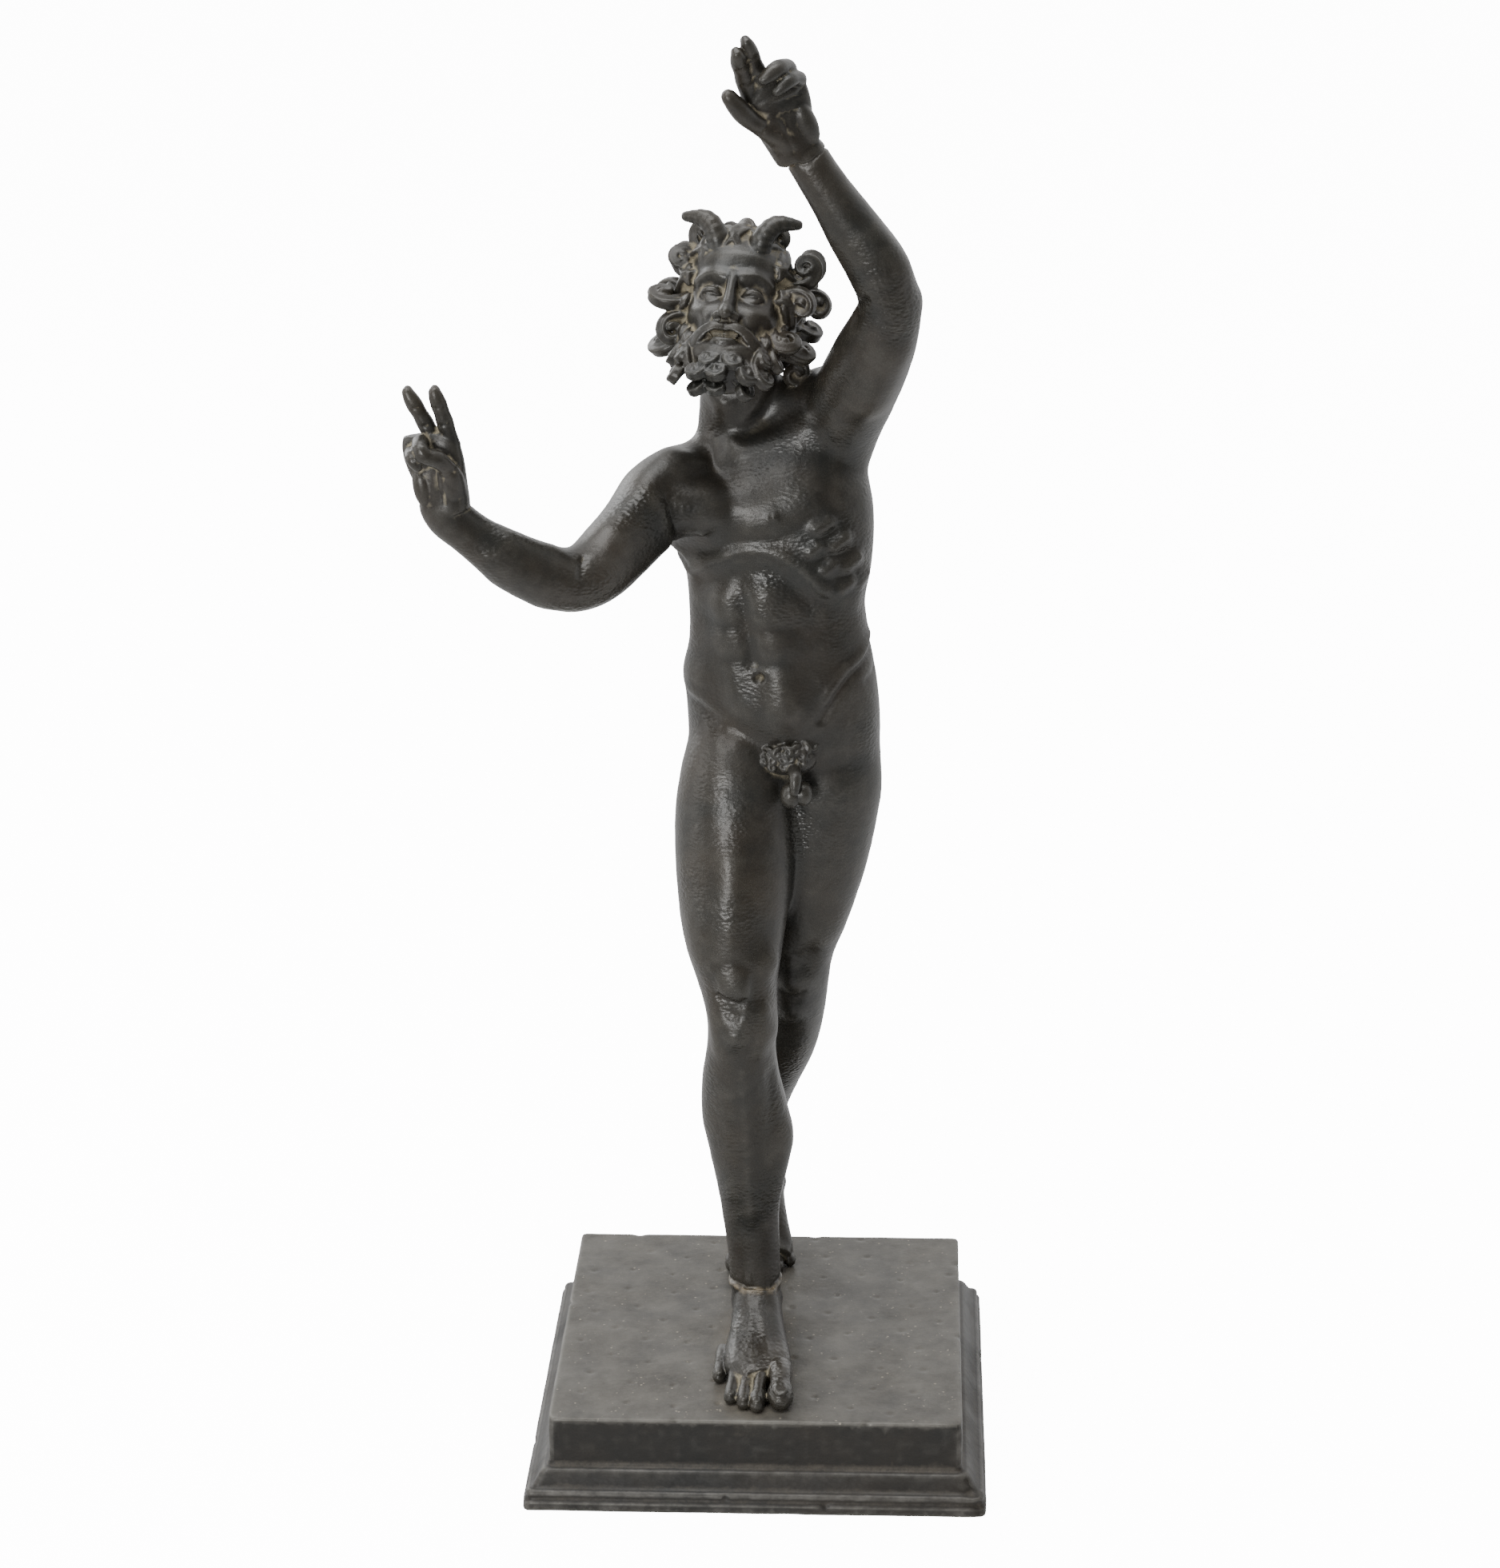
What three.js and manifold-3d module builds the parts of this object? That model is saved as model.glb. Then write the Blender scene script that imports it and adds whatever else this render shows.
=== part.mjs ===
// A bronze statuette of a dancing satyr on a stepped plinth, about 40 cm tall.
// Units are millimetres and +Z is up. The origin is the centre of the plinth's underside.
// The figure faces -Y, and right and left are its own: its right hand is on the -X side.
import * as THREE from 'three';
import { SimplifyModifier } from 'three/addons/modifiers/SimplifyModifier.js';
import { mergeVertices } from 'three/addons/utils/BufferGeometryUtils.js';
import Module from 'manifold-3d';

const wasm = await Module();
wasm.setup();

// Driving sizes of the plinth.
const slab = { width: 116, height: 15 };
const base = { height: 10.8, step: 7, band: 3.2, groove: 0.5, bead: 2.2 };
const slabCorner = 1.6;
const groundZ = base.height + slab.height;
const castingGap = 0.3;

// Driving sizes of the figure.
const headHeight = 42;
const fingerRadius = 2.15;
const toeRise = 2.5;
const lockRadius = 1.7;
const curl = { winding: 2.35 * Math.PI, start: 0.7 };
const beadRadius = 0.2;
const figureTriangles = 9200;

// Joints of the pose.
const place = {
  head: [-5.2, -4, 327.4],
  handRight: [-79, -52, 288.5],
  handLeft: [11.6, -34.2, 377.4],
};

// Finish.
const bronze = new THREE.MeshStandardMaterial({ color: 0x3a3631, roughness: 0.42, metalness: 0.75 });
const plinthBronze = new THREE.MeshStandardMaterial({ color: 0x47443f, roughness: 0.55, metalness: 0.7 });

// A station is one cross-section of a limb: its centre, and how far the surface lies from it
// to the figure's front, its back, its right (-X) and its left (+X).
function station(x, y, z, front, back, right, left) {
  return { at: new THREE.Vector3(x, y, z), reach: [front, back, right, left] };
}

function spline(values, t) {
  const last = values.length - 1;
  const i = Math.min(Math.floor(t), last - 1);
  const f = t - i;
  const a = values[Math.max(i - 1, 0)];
  const b = values[i];
  const c = values[i + 1];
  const d = values[Math.min(i + 2, last)];
  return 0.5 * (2 * b + (c - a) * f + (2 * a - 5 * b + 4 * c - d) * f * f + (3 * b - a - 3 * c + d) * f ** 3);
}

function splinePoint(points, t) {
  return new THREE.Vector3(
    spline(points.map((p) => p.x), t),
    spline(points.map((p) => p.y), t),
    spline(points.map((p) => p.z), t),
  );
}

// Turns rings of points into one closed skin, with a point at each end and its faces outwards.
function skin(rings) {
  const sides = rings[0].length;
  const points = [];
  const faces = [];
  for (const ring of rings) points.push(...ring);
  for (let r = 0; r < rings.length - 1; r++) {
    for (let s = 0; s < sides; s++) {
      const a = r * sides + s;
      const b = r * sides + ((s + 1) % sides);
      faces.push(a, b, b + sides, a, b + sides, a + sides);
    }
  }
  const middle = (ring) => ring.reduce((sum, p) => sum.add(p), new THREE.Vector3()).divideScalar(sides);
  const first = points.push(middle(rings[0])) - 1;
  const last = points.push(middle(rings[rings.length - 1])) - 1;
  const top = (rings.length - 1) * sides;
  for (let s = 0; s < sides; s++) {
    const next = (s + 1) % sides;
    faces.push(first, next, s);
    faces.push(last, top + s, top + next);
  }
  let volume = 0;
  for (let f = 0; f < faces.length; f += 3) {
    const [a, b, c] = [points[faces[f]], points[faces[f + 1]], points[faces[f + 2]]];
    volume += a.dot(new THREE.Vector3().crossVectors(b, c));
  }
  if (volume < 0) faces.reverse();
  const geometry = new THREE.BufferGeometry();
  geometry.setAttribute('position', new THREE.Float32BufferAttribute(points.flatMap((p) => p.toArray()), 3));
  geometry.setIndex(faces);
  return geometry;
}

// A limb through its stations. facing is the direction of the figure's front along the limb, and
// boxy is 1 for an oval section and lower for a squarer one.
function limb(stations, { sides = 28, rings = 40, facing = [0, -1, 0], boxy = 1 } = {}) {
  const centres = stations.map((s) => s.at);
  const front = new THREE.Vector3(...facing);
  const made = [];
  let previous = new THREE.Vector3(1, 0, 0);
  for (let r = 0; r <= rings; r++) {
    const t = (r / rings) * (stations.length - 1);
    const centre = splinePoint(centres, t);
    const before = splinePoint(centres, Math.max(t - 0.1, 0));
    const after = splinePoint(centres, Math.min(t + 0.1, stations.length - 1));
    const along = after.sub(before).normalize();
    const ahead = front.clone().addScaledVector(along, -front.dot(along)).normalize();
    const left = new THREE.Vector3().crossVectors(along, ahead);
    if (left.dot(previous) < 0) left.negate();
    previous = left;
    const reach = [0, 1, 2, 3].map((k) => spline(stations.map((s) => s.reach[k]), t));
    const ring = [];
    for (let s = 0; s < sides; s++) {
      const angle = ((s + 0.5) / sides) * 2 * Math.PI;
      const c = Math.sign(Math.cos(angle)) * Math.abs(Math.cos(angle)) ** boxy;
      const d = Math.sign(Math.sin(angle)) * Math.abs(Math.sin(angle)) ** boxy;
      const sideways = c * (c > 0 ? reach[3] : reach[2]);
      const forward = d * (d > 0 ? reach[0] : reach[1]);
      ring.push(centre.clone().addScaledVector(left, sideways).addScaledVector(ahead, forward));
    }
    made.push(ring);
  }
  return skin(made);
}

// A round tapered tube with domed ends, for locks, horns, fingers and toes.
function tube(points, radii, { sides = 10, rings = 12 } = {}) {
  const path = new THREE.CatmullRomCurve3(points.map((p) => new THREE.Vector3(...p)));
  const frames = path.computeFrenetFrames(rings, false);
  const made = [];
  const addRing = (centre, radius, normal, binormal) => {
    const ring = [];
    for (let s = 0; s < sides; s++) {
      const angle = (s / sides) * 2 * Math.PI;
      ring.push(centre.clone()
        .addScaledVector(normal, radius * Math.cos(angle))
        .addScaledVector(binormal, radius * Math.sin(angle)));
    }
    made.push(ring);
  };
  for (let r = 0; r <= rings; r++) {
    const centre = path.getPointAt(r / rings);
    const radius = spline(radii, (r / rings) * (radii.length - 1));
    const [normal, binormal, tangent] = [frames.normals[r], frames.binormals[r], frames.tangents[r]];
    if (r === 0) addRing(centre.clone().addScaledVector(tangent, -0.6 * radius), radius * 0.6, normal, binormal);
    addRing(centre, radius, normal, binormal);
    if (r === rings) addRing(centre.clone().addScaledVector(tangent, 0.6 * radius), radius * 0.6, normal, binormal);
  }
  return skin(made);
}

// An ellipsoid, turned by angles in degrees about X, Y and Z.
function muscle(centre, radii, turn = [0, 0, 0], detail = [16, 12]) {
  const geometry = new THREE.SphereGeometry(1, ...detail);
  const turned = new THREE.Euler(...turn.map(THREE.MathUtils.degToRad));
  geometry.applyMatrix4(new THREE.Matrix4().compose(
    new THREE.Vector3(...centre),
    new THREE.Quaternion().setFromEuler(turned),
    new THREE.Vector3(...radii),
  ));
  return geometry;
}

// How far a point lies from a path of one or more points.
function distanceTo(path, point) {
  if (path.length === 1) return path[0].distanceTo(point);
  const nearest = new THREE.Vector3();
  return Math.min(...path.slice(1).map((end, n) => {
    new THREE.Line3(path[n], end).closestPointToPoint(point, true, nearest);
    return nearest.distanceTo(point);
  }));
}

// Models a skin as a thumb does clay. Each stroke is a path, the radius it reaches and its height,
// and a height below zero makes a hollow.
function modelled(geometry, strokes) {
  geometry.computeVertexNormals();
  const { position, normal } = geometry.attributes;
  const paths = strokes.map(([path]) => path.map((p) => new THREE.Vector3(...p)));
  for (let n = 0; n < position.count; n++) {
    const point = new THREE.Vector3().fromBufferAttribute(position, n);
    const outwards = new THREE.Vector3().fromBufferAttribute(normal, n);
    let rise = 0;
    strokes.forEach(([, radius, height], k) => {
      rise += height * Math.exp(-((distanceTo(paths[k], point) / radius) ** 2));
    });
    point.addScaledVector(outwards, rise);
    position.setXYZ(n, point.x, point.y, point.z);
  }
  return geometry;
}

function solid(geometry) {
  const bare = geometry.clone();
  bare.deleteAttribute('normal');
  bare.deleteAttribute('uv');
  const merged = mergeVertices(bare, 1e-5);
  return new wasm.Manifold(new wasm.Mesh({
    numProp: 3,
    vertProperties: new Float32Array(merged.attributes.position.array),
    triVerts: new Uint32Array(merged.index.array),
  }));
}

function joined(geometries) {
  return geometries.map(solid).reduce((all, one) => all.add(one));
}

// The outer skin of a solid, as a geometry: pockets sealed between the locks are filled by leaving out
// their walls, so the largest connected shell is all that stays.
function outerShell(manifold, weld = 1e-5) {
  const mesh = manifold.getMesh();
  const corners = Array.from(mesh.triVerts);
  const group = Array.from({ length: mesh.numVert }, (_, n) => n);
  const find = (n) => {
    while (group[n] !== n) {
      group[n] = group[group[n]];
      n = group[n];
    }
    return n;
  };
  for (let f = 0; f < corners.length; f += 3) {
    group[find(corners[f])] = find(corners[f + 1]);
    group[find(corners[f + 1])] = find(corners[f + 2]);
  }
  const size = new Map();
  for (const corner of corners) size.set(find(corner), (size.get(find(corner)) ?? 0) + 1);
  const [largest] = [...size].sort((a, b) => b[1] - a[1])[0];
  const kept = [];
  for (let f = 0; f < corners.length; f += 3) {
    if (find(corners[f]) === largest) kept.push(corners[f], corners[f + 1], corners[f + 2]);
  }
  const geometry = new THREE.BufferGeometry();
  geometry.setAttribute('position', new THREE.Float32BufferAttribute(mesh.vertProperties, 3));
  geometry.setIndex(kept);
  const shell = mergeVertices(geometry, weld);
  const whole = [];
  for (let f = 0; f < shell.index.count; f += 3) {
    const face = [0, 1, 2].map((k) => shell.index.getX(f + k));
    if (new Set(face).size === 3) whole.push(...face);
  }
  shell.setIndex(whole);
  return shell;
}

// The edges that more than two faces share, where two folds of a skin touch.
function pinches({ index, attributes }) {
  const faces = new Map();
  for (let f = 0; f < index.count; f += 3) {
    for (const [a, b] of [[0, 1], [1, 2], [2, 0]]) {
      const edge = [index.getX(f + a), index.getX(f + b)].sort((p, q) => p - q).join();
      faces.set(edge, (faces.get(edge) ?? 0) + 1);
    }
  }
  const corner = (n) => new THREE.Vector3().fromBufferAttribute(attributes.position, n);
  return [...faces].filter(([, count]) => count !== 2).map(([edge]) => edge.split(',').map(Number).map(corner));
}

// Simplifies a solid to about a number of triangles. Where two folds come to touch along an edge, a
// small bead of metal joins them.
async function simplified(manifold, triangles) {
  const fine = outerShell(manifold);
  const surplus = fine.attributes.position.count - triangles / 2;
  let coarse = solid(await new SimplifyModifier().modify(fine, surplus));
  for (let round = 0; round < 5; round++) {
    const skin = outerShell(coarse, 1e-3);
    const touching = pinches(skin);
    if (touching.length === 0) return skin;
    for (const ends of touching) {
      const middle = ends[0].clone().add(ends[1]).multiplyScalar(0.5);
      const radius = ends[0].distanceTo(ends[1]) / 2 + beadRadius;
      coarse = coarse.add(solid(muscle(middle.toArray(), [radius, radius, radius], [0, 0, 0], [6, 4])));
    }
  }
  throw new Error('the skin still touches itself');
}

function torso() {
  const trunk = limb([
    station(6.8, 12, 184, 4, 9, 14, 14),
    station(6.6, 10, 191, 9, 15, 21, 21),
    station(6.6, 8, 198, 14, 17.5, 24.6, 24.6),
    station(6.8, 7, 206, 16, 18.4, 26.8, 26.8),
    station(6.6, 6, 215, 17, 16.5, 27.2, 26.8),
    station(6.4, 4.5, 224, 17, 14, 26.6, 26),
    station(5.4, 3, 236, 16.4, 12.8, 24.8, 24.4),
    station(4.8, 2, 248, 16.4, 13, 24.2, 24.4),
    station(4.8, 2, 260, 17.2, 14.5, 26, 26.6),
    station(3.4, 2.5, 272, 17.2, 16, 29.6, 28),
    station(0.5, 3.5, 282, 15.5, 16, 26.6, 27.4),
    station(-3, 5, 290, 10.5, 13.5, 17.5, 22),
    station(-5, 6.5, 298, 8, 10.5, 10, 12),
  ], { sides: 56, rings: 64, boxy: 0.86, facing: [-0.12, -1, 0] });
  const chest = [
    [[[-20, -10, 275], [-12, -13, 276]], 9.5, 2],
    [[[0, -15, 275], [8, -15, 277], [15, -12, 282]], 10, 1.5],
    [[[-8.4, -10, 284], [-7, -14, 274], [-5.4, -16, 267]], 3.6, -0.5],
    [[[-19, -6, 258], [-11, -12, 262], [-3, -16, 264.6], [5, -16.5, 264], [18, -14, 254.5]], 2.6, 1.2],
    [[[-15, -9, 254], [-8, -14, 257.5], [0, -16, 259.6], [8, -16, 257.6], [14, -14, 251]], 3.4, -1.1],
  ];
  const belly = [
    [[[-10.5, -12, 250], [-8.5, -12, 236], [-5.5, -12, 220]], 4.2, 1.2],
    [[[1.5, -14, 252], [4, -14, 238], [7.5, -13, 220]], 4.4, 1.3],
    [[[-5.4, -15, 258], [-3, -14, 244], [-0.6, -13, 232]], 2.2, -1.3],
    [[[-0.2, -15, 229.2]], 2, -1.4],
    [[[3.6, -13, 218]], 9, 2],
    [[[-18.6, -4, 226.5], [-20, 6, 226.5]], 6, 1.6],
    [[[27, -3, 238], [28.4, 8, 238]], 7, 0.7],
    [[[-20.5, 1, 219.6], [-16.5, -5, 217.6], [-8.6, -11, 210]], 2.4, -0.8],
    [[[32, 2, 236], [24.6, -10, 227.6], [16.6, -13, 213]], 2.2, -1],
  ];
  const back = [
    [[[-5, 23, 202]], 10, 5],
    [[[18, 24, 200]], 10, 5],
    [[[6.6, 26, 214], [6.6, 28, 190]], 3.4, -5],
    [[[-1, 20, 286], [4.6, 16, 256], [6, 20, 222]], 3.6, -2],
    [[[-12, 18, 281], [-10, 18, 268]], 6.5, 1.8],
    [[[15, 18, 284], [13, 18, 270]], 6.5, 1.8],
  ];
  return modelled(trunk, [...chest, ...belly, ...back]);
}

function rightLeg() {
  const leg = limb([
    station(-7.5, 3.5, 212, 12, 13, 10, 14),
    station(-7.4, 2, 200, 16.5, 17, 14.6, 17),
    station(-6.8, -1.5, 184, 17, 16.5, 17, 17),
    station(-6.7, -5.5, 168, 16.5, 15, 16.6, 16),
    station(-6.7, -9, 153, 14.8, 13, 14.6, 14),
    station(-5.7, -12, 140, 12.2, 11, 11.4, 11.2),
    station(-4.7, -13.5, 131, 11.4, 10.5, 10.2, 10),
    station(-5, -13, 121, 10.2, 11, 9.8, 9.8),
    station(-4.6, -11.5, 110, 9.6, 13.4, 11.9, 10.2),
    station(-3.9, -10, 98, 9, 14.2, 12.9, 12.2),
    station(-3.4, -9.4, 90, 8.7, 13.6, 12, 13.2),
    station(-3.1, -9, 81, 8.3, 11.6, 10.6, 11.2),
    station(-3, -8.5, 69, 7.8, 8.8, 8.6, 8.7),
    station(-2.2, -8, 55, 7.4, 7.6, 7.6, 7.7),
    station(-1.7, -8, 45, 7.8, 8.2, 7.5, 7.6),
    station(-1.6, -7.5, 36, 8.2, 8.6, 6.6, 6.8),
    station(-1.6, -7, 31, 8, 8, 6, 6),
  ], { sides: 32, rings: 80, facing: [-0.05, -1, 0] });
  return modelled(leg, [
    [[[-7.6, -25.5, 137], [-3.8, -25.5, 137]], 5.8, 1.5],
    [[[3.4, -20, 148]], 5, 2.2],
    [[[-13, -20, 149]], 7, 1.4],
    [[[-4, 4, 131]], 5, -1.4],
    [[[-4, 2, 60], [-4, 2, 84]], 4, -1],
  ]);
}

function leftLeg() {
  const leg = limb([
    station(16.5, 7, 214, 12, 13, 13, 13),
    station(18.5, 8, 198, 16.5, 17.5, 16, 15.8),
    station(17.2, 9.5, 184, 16.8, 16.5, 16, 15.8),
    station(14.6, 11, 169, 16, 15, 15.4, 15.4),
    station(12, 12.5, 154, 14, 13, 13.6, 13.6),
    station(9.4, 13.5, 141, 12, 11.4, 11.6, 11.6),
    station(8.8, 15, 131, 11.2, 11, 10.4, 10.4),
    station(7.6, 20, 119, 10.4, 11.4, 10.3, 10.4),
    station(4.4, 27, 106, 9.4, 13.6, 11.6, 11.2),
    station(0.2, 36, 91, 8.4, 13, 11, 10.4),
    station(-2.2, 46, 76, 7.4, 9.6, 8.6, 8.4),
    station(-3, 54, 63, 7, 7.8, 7.4, 7.4),
    station(-3.2, 58.5, 54, 7, 6.5, 7.2, 7.2),
  ], { sides: 32, rings: 72, facing: [0.15, -1, 0] });
  return modelled(leg, [
    [[[9.2, 3, 131.5]], 5, 2],
    [[[2, 2, 143]], 5.5, 1.6],
    [[[16, 1, 149]], 7, 1.4],
    [[[8, 28, 126]], 5, -1.4],
  ]);
}

// Toes, each from its root in the foot over a low arch to its tip on the ground, given as
// [tip, root, radius].
function toes(table) {
  return table.map(([tip, root, radius]) => {
    const arch = [[0, 0.9], [0.4, 1], [0.7, 0.35], [1, 0]];
    const path = arch.map(([share, rise]) => [
      THREE.MathUtils.lerp(root[0], tip[0], share),
      THREE.MathUtils.lerp(root[1], tip[1] + radius, share),
      groundZ + radius * 0.85 + rise * toeRise,
    ]);
    return tube(path, [1, 0.95, 0.86, 1.05, 1].map((k) => k * radius), { rings: 8 });
  });
}

function rightFoot() {
  const instep = limb([
    station(-1.4, 5.5, groundZ + 6, 5, 6, 5.6, 5.6),
    station(-1.4, 0, groundZ + 7.5, 9, 9, 7, 7),
    station(-1.2, -9, groundZ + 8, 14, 9, 7, 7.2),
    station(-0.8, -18, groundZ + 6.4, 9.8, 8, 7.6, 8),
    station(-0.4, -27, groundZ + 4.8, 6.4, 6, 9.2, 9.2),
    station(0.4, -35, groundZ + 4.2, 4.8, 5, 9.2, 9.4),
    station(2, -40, groundZ + 3.6, 3.4, 4, 6, 7.4),
  ], { rings: 30, facing: [0, 0, 1], boxy: 0.8 });
  return [instep, ...toes([
    [[7, -54], [6.6, -37], 3.5],
    [[0.4, -54.6], [1.4, -35], 2.1],
    [[-3.4, -53], [-2.6, -33], 2],
    [[-7.2, -50], [-6, -31], 1.95],
    [[-11, -38], [-10.4, -24], 1.95],
  ])];
}

function leftFoot() {
  const instep = limb([
    station(-3.2, 66, groundZ + 26, 4, 4, 4.6, 4.6),
    station(-3.2, 61, groundZ + 25, 9, 6, 7, 7),
    station(-3, 54, groundZ + 18, 8.6, 6.6, 7.4, 7.4),
    station(-2.6, 47, groundZ + 10, 7, 5.6, 8.6, 8.6),
    station(-2.2, 41, groundZ + 5, 5, 5.5, 9.6, 9.8),
    station(-2, 36, groundZ + 3.6, 3.4, 4, 8.8, 9),
  ], { rings: 26, facing: [0, -0.75, 0.66], boxy: 0.8 });
  return [instep, ...toes([
    [[-9.6, 29.5], [-8, 41], 3.1],
    [[-3.8, 27.6], [-3.6, 40], 2.1],
    [[-0.2, 28.4], [-0.6, 40], 1.95],
    [[3.4, 31], [2.6, 42], 1.85],
    [[6.8, 35.6], [5.4, 46], 1.8],
  ])];
}

function rightArm() {
  return limb([
    station(-12, 3, 281, 8, 9, 9, 9),
    station(-20, 0, 281, 10.5, 10.5, 9.5, 10.5),
    station(-26.6, -6, 277.6, 10.8, 10.8, 10.2, 10.4),
    station(-32.2, -15, 271.8, 10.2, 10, 9.8, 10),
    station(-37.6, -25, 267.4, 9.8, 9.6, 9.6, 9.6),
    station(-42.6, -34, 264.8, 8.9, 9.6, 9, 9),
    station(-48.4, -39.5, 264.2, 8, 9.4, 8.6, 8.6),
    station(-56.5, -43.5, 267.6, 7.6, 7.8, 7.8, 7.8),
    station(-65, -47, 273, 6.7, 6.8, 7, 7),
    station(-73, -49.5, 279.6, 5.6, 5.8, 6.2, 6),
    station(-78.4, -51.5, 285, 5.2, 5.4, 6.4, 6.2),
    station(-80.4, -52, 290, 5, 5, 6.4, 6.2),
  ], { facing: [-0.35, -0.85, 0.35] });
}

function leftArm() {
  return limb([
    station(12, 4, 278, 9, 9, 9, 9),
    station(18, 3, 288, 11.5, 12, 11, 12),
    station(22.3, -1, 298, 11.5, 11.5, 11.3, 11.3),
    station(26.6, -8, 308, 11.2, 11.2, 11.2, 11),
    station(31, -16, 319, 10.6, 10.8, 10.8, 10.4),
    station(34.4, -23, 329, 9.2, 10, 9.4, 9),
    station(35, -26.5, 337, 8.4, 9.2, 8, 8.2),
    station(31.6, -28.5, 346, 8.4, 8.4, 8, 8.2),
    station(26.2, -30.5, 355, 7.4, 7.4, 7.4, 7.4),
    station(20, -32.5, 365, 6, 6.2, 6.2, 6.2),
    station(15.4, -33.6, 372.5, 5.3, 5.4, 6, 5.8),
    station(12.6, -34.2, 377.5, 5, 5, 6, 5.8),
  ], { facing: [-0.2, -0.95, -0.1] });
}

// A hand in its own frame: fingers along +Z, palm towards -Y, thumb on the +X side when side is 1.
// The index and middle finger are straight, with a spread and a curl in degrees. The ring and little
// finger are curled along paths of their own, and so is the thumb.
function hand(side, size, straight, curled, thumb) {
  const palm = limb([
    station(side * 0.7, 0, -2, 4.6, 4.8, 5, 5),
    station(side * 0.7, 0, 4, 4.6, 4.4, 6, 6),
    station(side * 0.2, 0, 10, 4.2, 3.8, 7.2, 7.2),
    station(0, 0, 15, 3.2, 3.4, 7.2, 7.2),
    station(0, 0.4, 18, 2.2, 2.4, 6.2, 6.2),
  ], { sides: 20, rings: 16, boxy: 0.8 });
  const reach = [15, 16];
  const swelling = [1.1, 0.98, 1.12, 0.94, 1.04, 0.9, 0.72];
  const made = [palm];
  straight.forEach(({ spread, curl: degrees }, n) => {
    const points = [[side * (5.4 - 3.5 * n), 0.4, 14]];
    let bend = 0;
    for (const share of [0.44, 0.32, 0.24]) {
      const last = points[points.length - 1];
      bend += THREE.MathUtils.degToRad(degrees);
      const sideways = Math.sin(THREE.MathUtils.degToRad(spread)) * side;
      points.push([
        last[0] + sideways * reach[n] * share * Math.cos(bend),
        last[1] - Math.sin(bend) * reach[n] * share,
        last[2] + Math.cos(bend) * reach[n] * share,
      ]);
    }
    made.push(tube(points, swelling.map((k) => k * fingerRadius)));
  });
  const mirrored = (path) => path.map(([x, y, z]) => [x * side, y, z]);
  curled.forEach((path, n) => {
    const radius = fingerRadius * (n === 1 ? 0.86 : 1);
    made.push(tube(mirrored(path), swelling.map((k) => k * radius)));
  });
  made.push(tube(mirrored(thumb), [3.2, 3.1, 2.3, 2.5, 1.9]));
  return made.map((g) => g.scale(size, size, size));
}

function placed(geometries, origin, turn) {
  const euler = new THREE.Euler(...turn.map(THREE.MathUtils.degToRad), 'ZYX');
  const matrix = new THREE.Matrix4().makeRotationFromEuler(euler).setPosition(...origin);
  return geometries.map((g) => g.applyMatrix4(matrix));
}

function rightHand() {
  const straight = [{ spread: -2, curl: 3 }, { spread: -15, curl: 2 }];
  const curled = [
    [[-1.4, 0, 12.3], [-1.2, -2.6, 16.7], [0.2, -7, 17], [1.5, -7.8, 14.4]],
    [[-4, -0.4, 11.5], [-3.9, -3, 14.6], [-2.5, -7.2, 15], [-1.4, -7.8, 12.6]],
  ];
  const thumb = [[5, -0.6, 2], [7, -2.2, 8.4], [5.6, -5, 14.4], [2.7, -7.6, 17]];
  return placed(hand(1, 1.06, straight, curled, thumb), place.handRight, [8, -10, -12]);
}

function leftHand() {
  const straight = [{ spread: -3, curl: 9 }, { spread: -1, curl: 6 }];
  const curled = [
    [[-2.4, 1.4, 13], [-4.6, -0.4, 18], [-2.2, -4.2, 21], [1.6, -5.4, 20.8]],
    [[-4.4, 1.2, 11.4], [-6, -1, 15], [-3.4, -4.8, 17.6], [0, -5.8, 17]],
  ];
  const thumb = [[0.2, -1.4, 1], [4.4, -2.8, 7], [8, -3.4, 13.4], [10, -3.6, 20]];
  return placed(hand(-1, 1.14, straight, curled, thumb), place.handLeft, [14, -24, 12]);
}

// The head in its own frame: face towards -Y, up +Z, the origin between the eyes and the ears.
// Its height is divided as a drawing book does it: eyes at half, nose and mouth below.
function skull() {
  const half = headHeight / 2;
  return limb([
    station(0, -11, -half * 0.96, 2, 4, 4, 4),
    station(0, -9, -half * 0.82, 9.4, 8, 8.6, 8.6),
    station(0, -6, -half * 0.6, 12, 12, 11, 11),
    station(0, -3, -half * 0.3, 14.2, 15, 12.6, 12.6),
    station(0, -1, 0, 14.6, 18, 13.6, 13.6),
    station(0, 1, half * 0.34, 17, 19, 14.4, 14.4),
    station(0, 2, half * 0.66, 15.4, 17.6, 13.4, 13.4),
    station(0, 3, half * 0.9, 9.6, 11, 9, 9),
    station(0, 3, half, 3, 3, 3, 3),
  ], { sides: 64, rings: 60, boxy: 0.92 });
}

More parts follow.
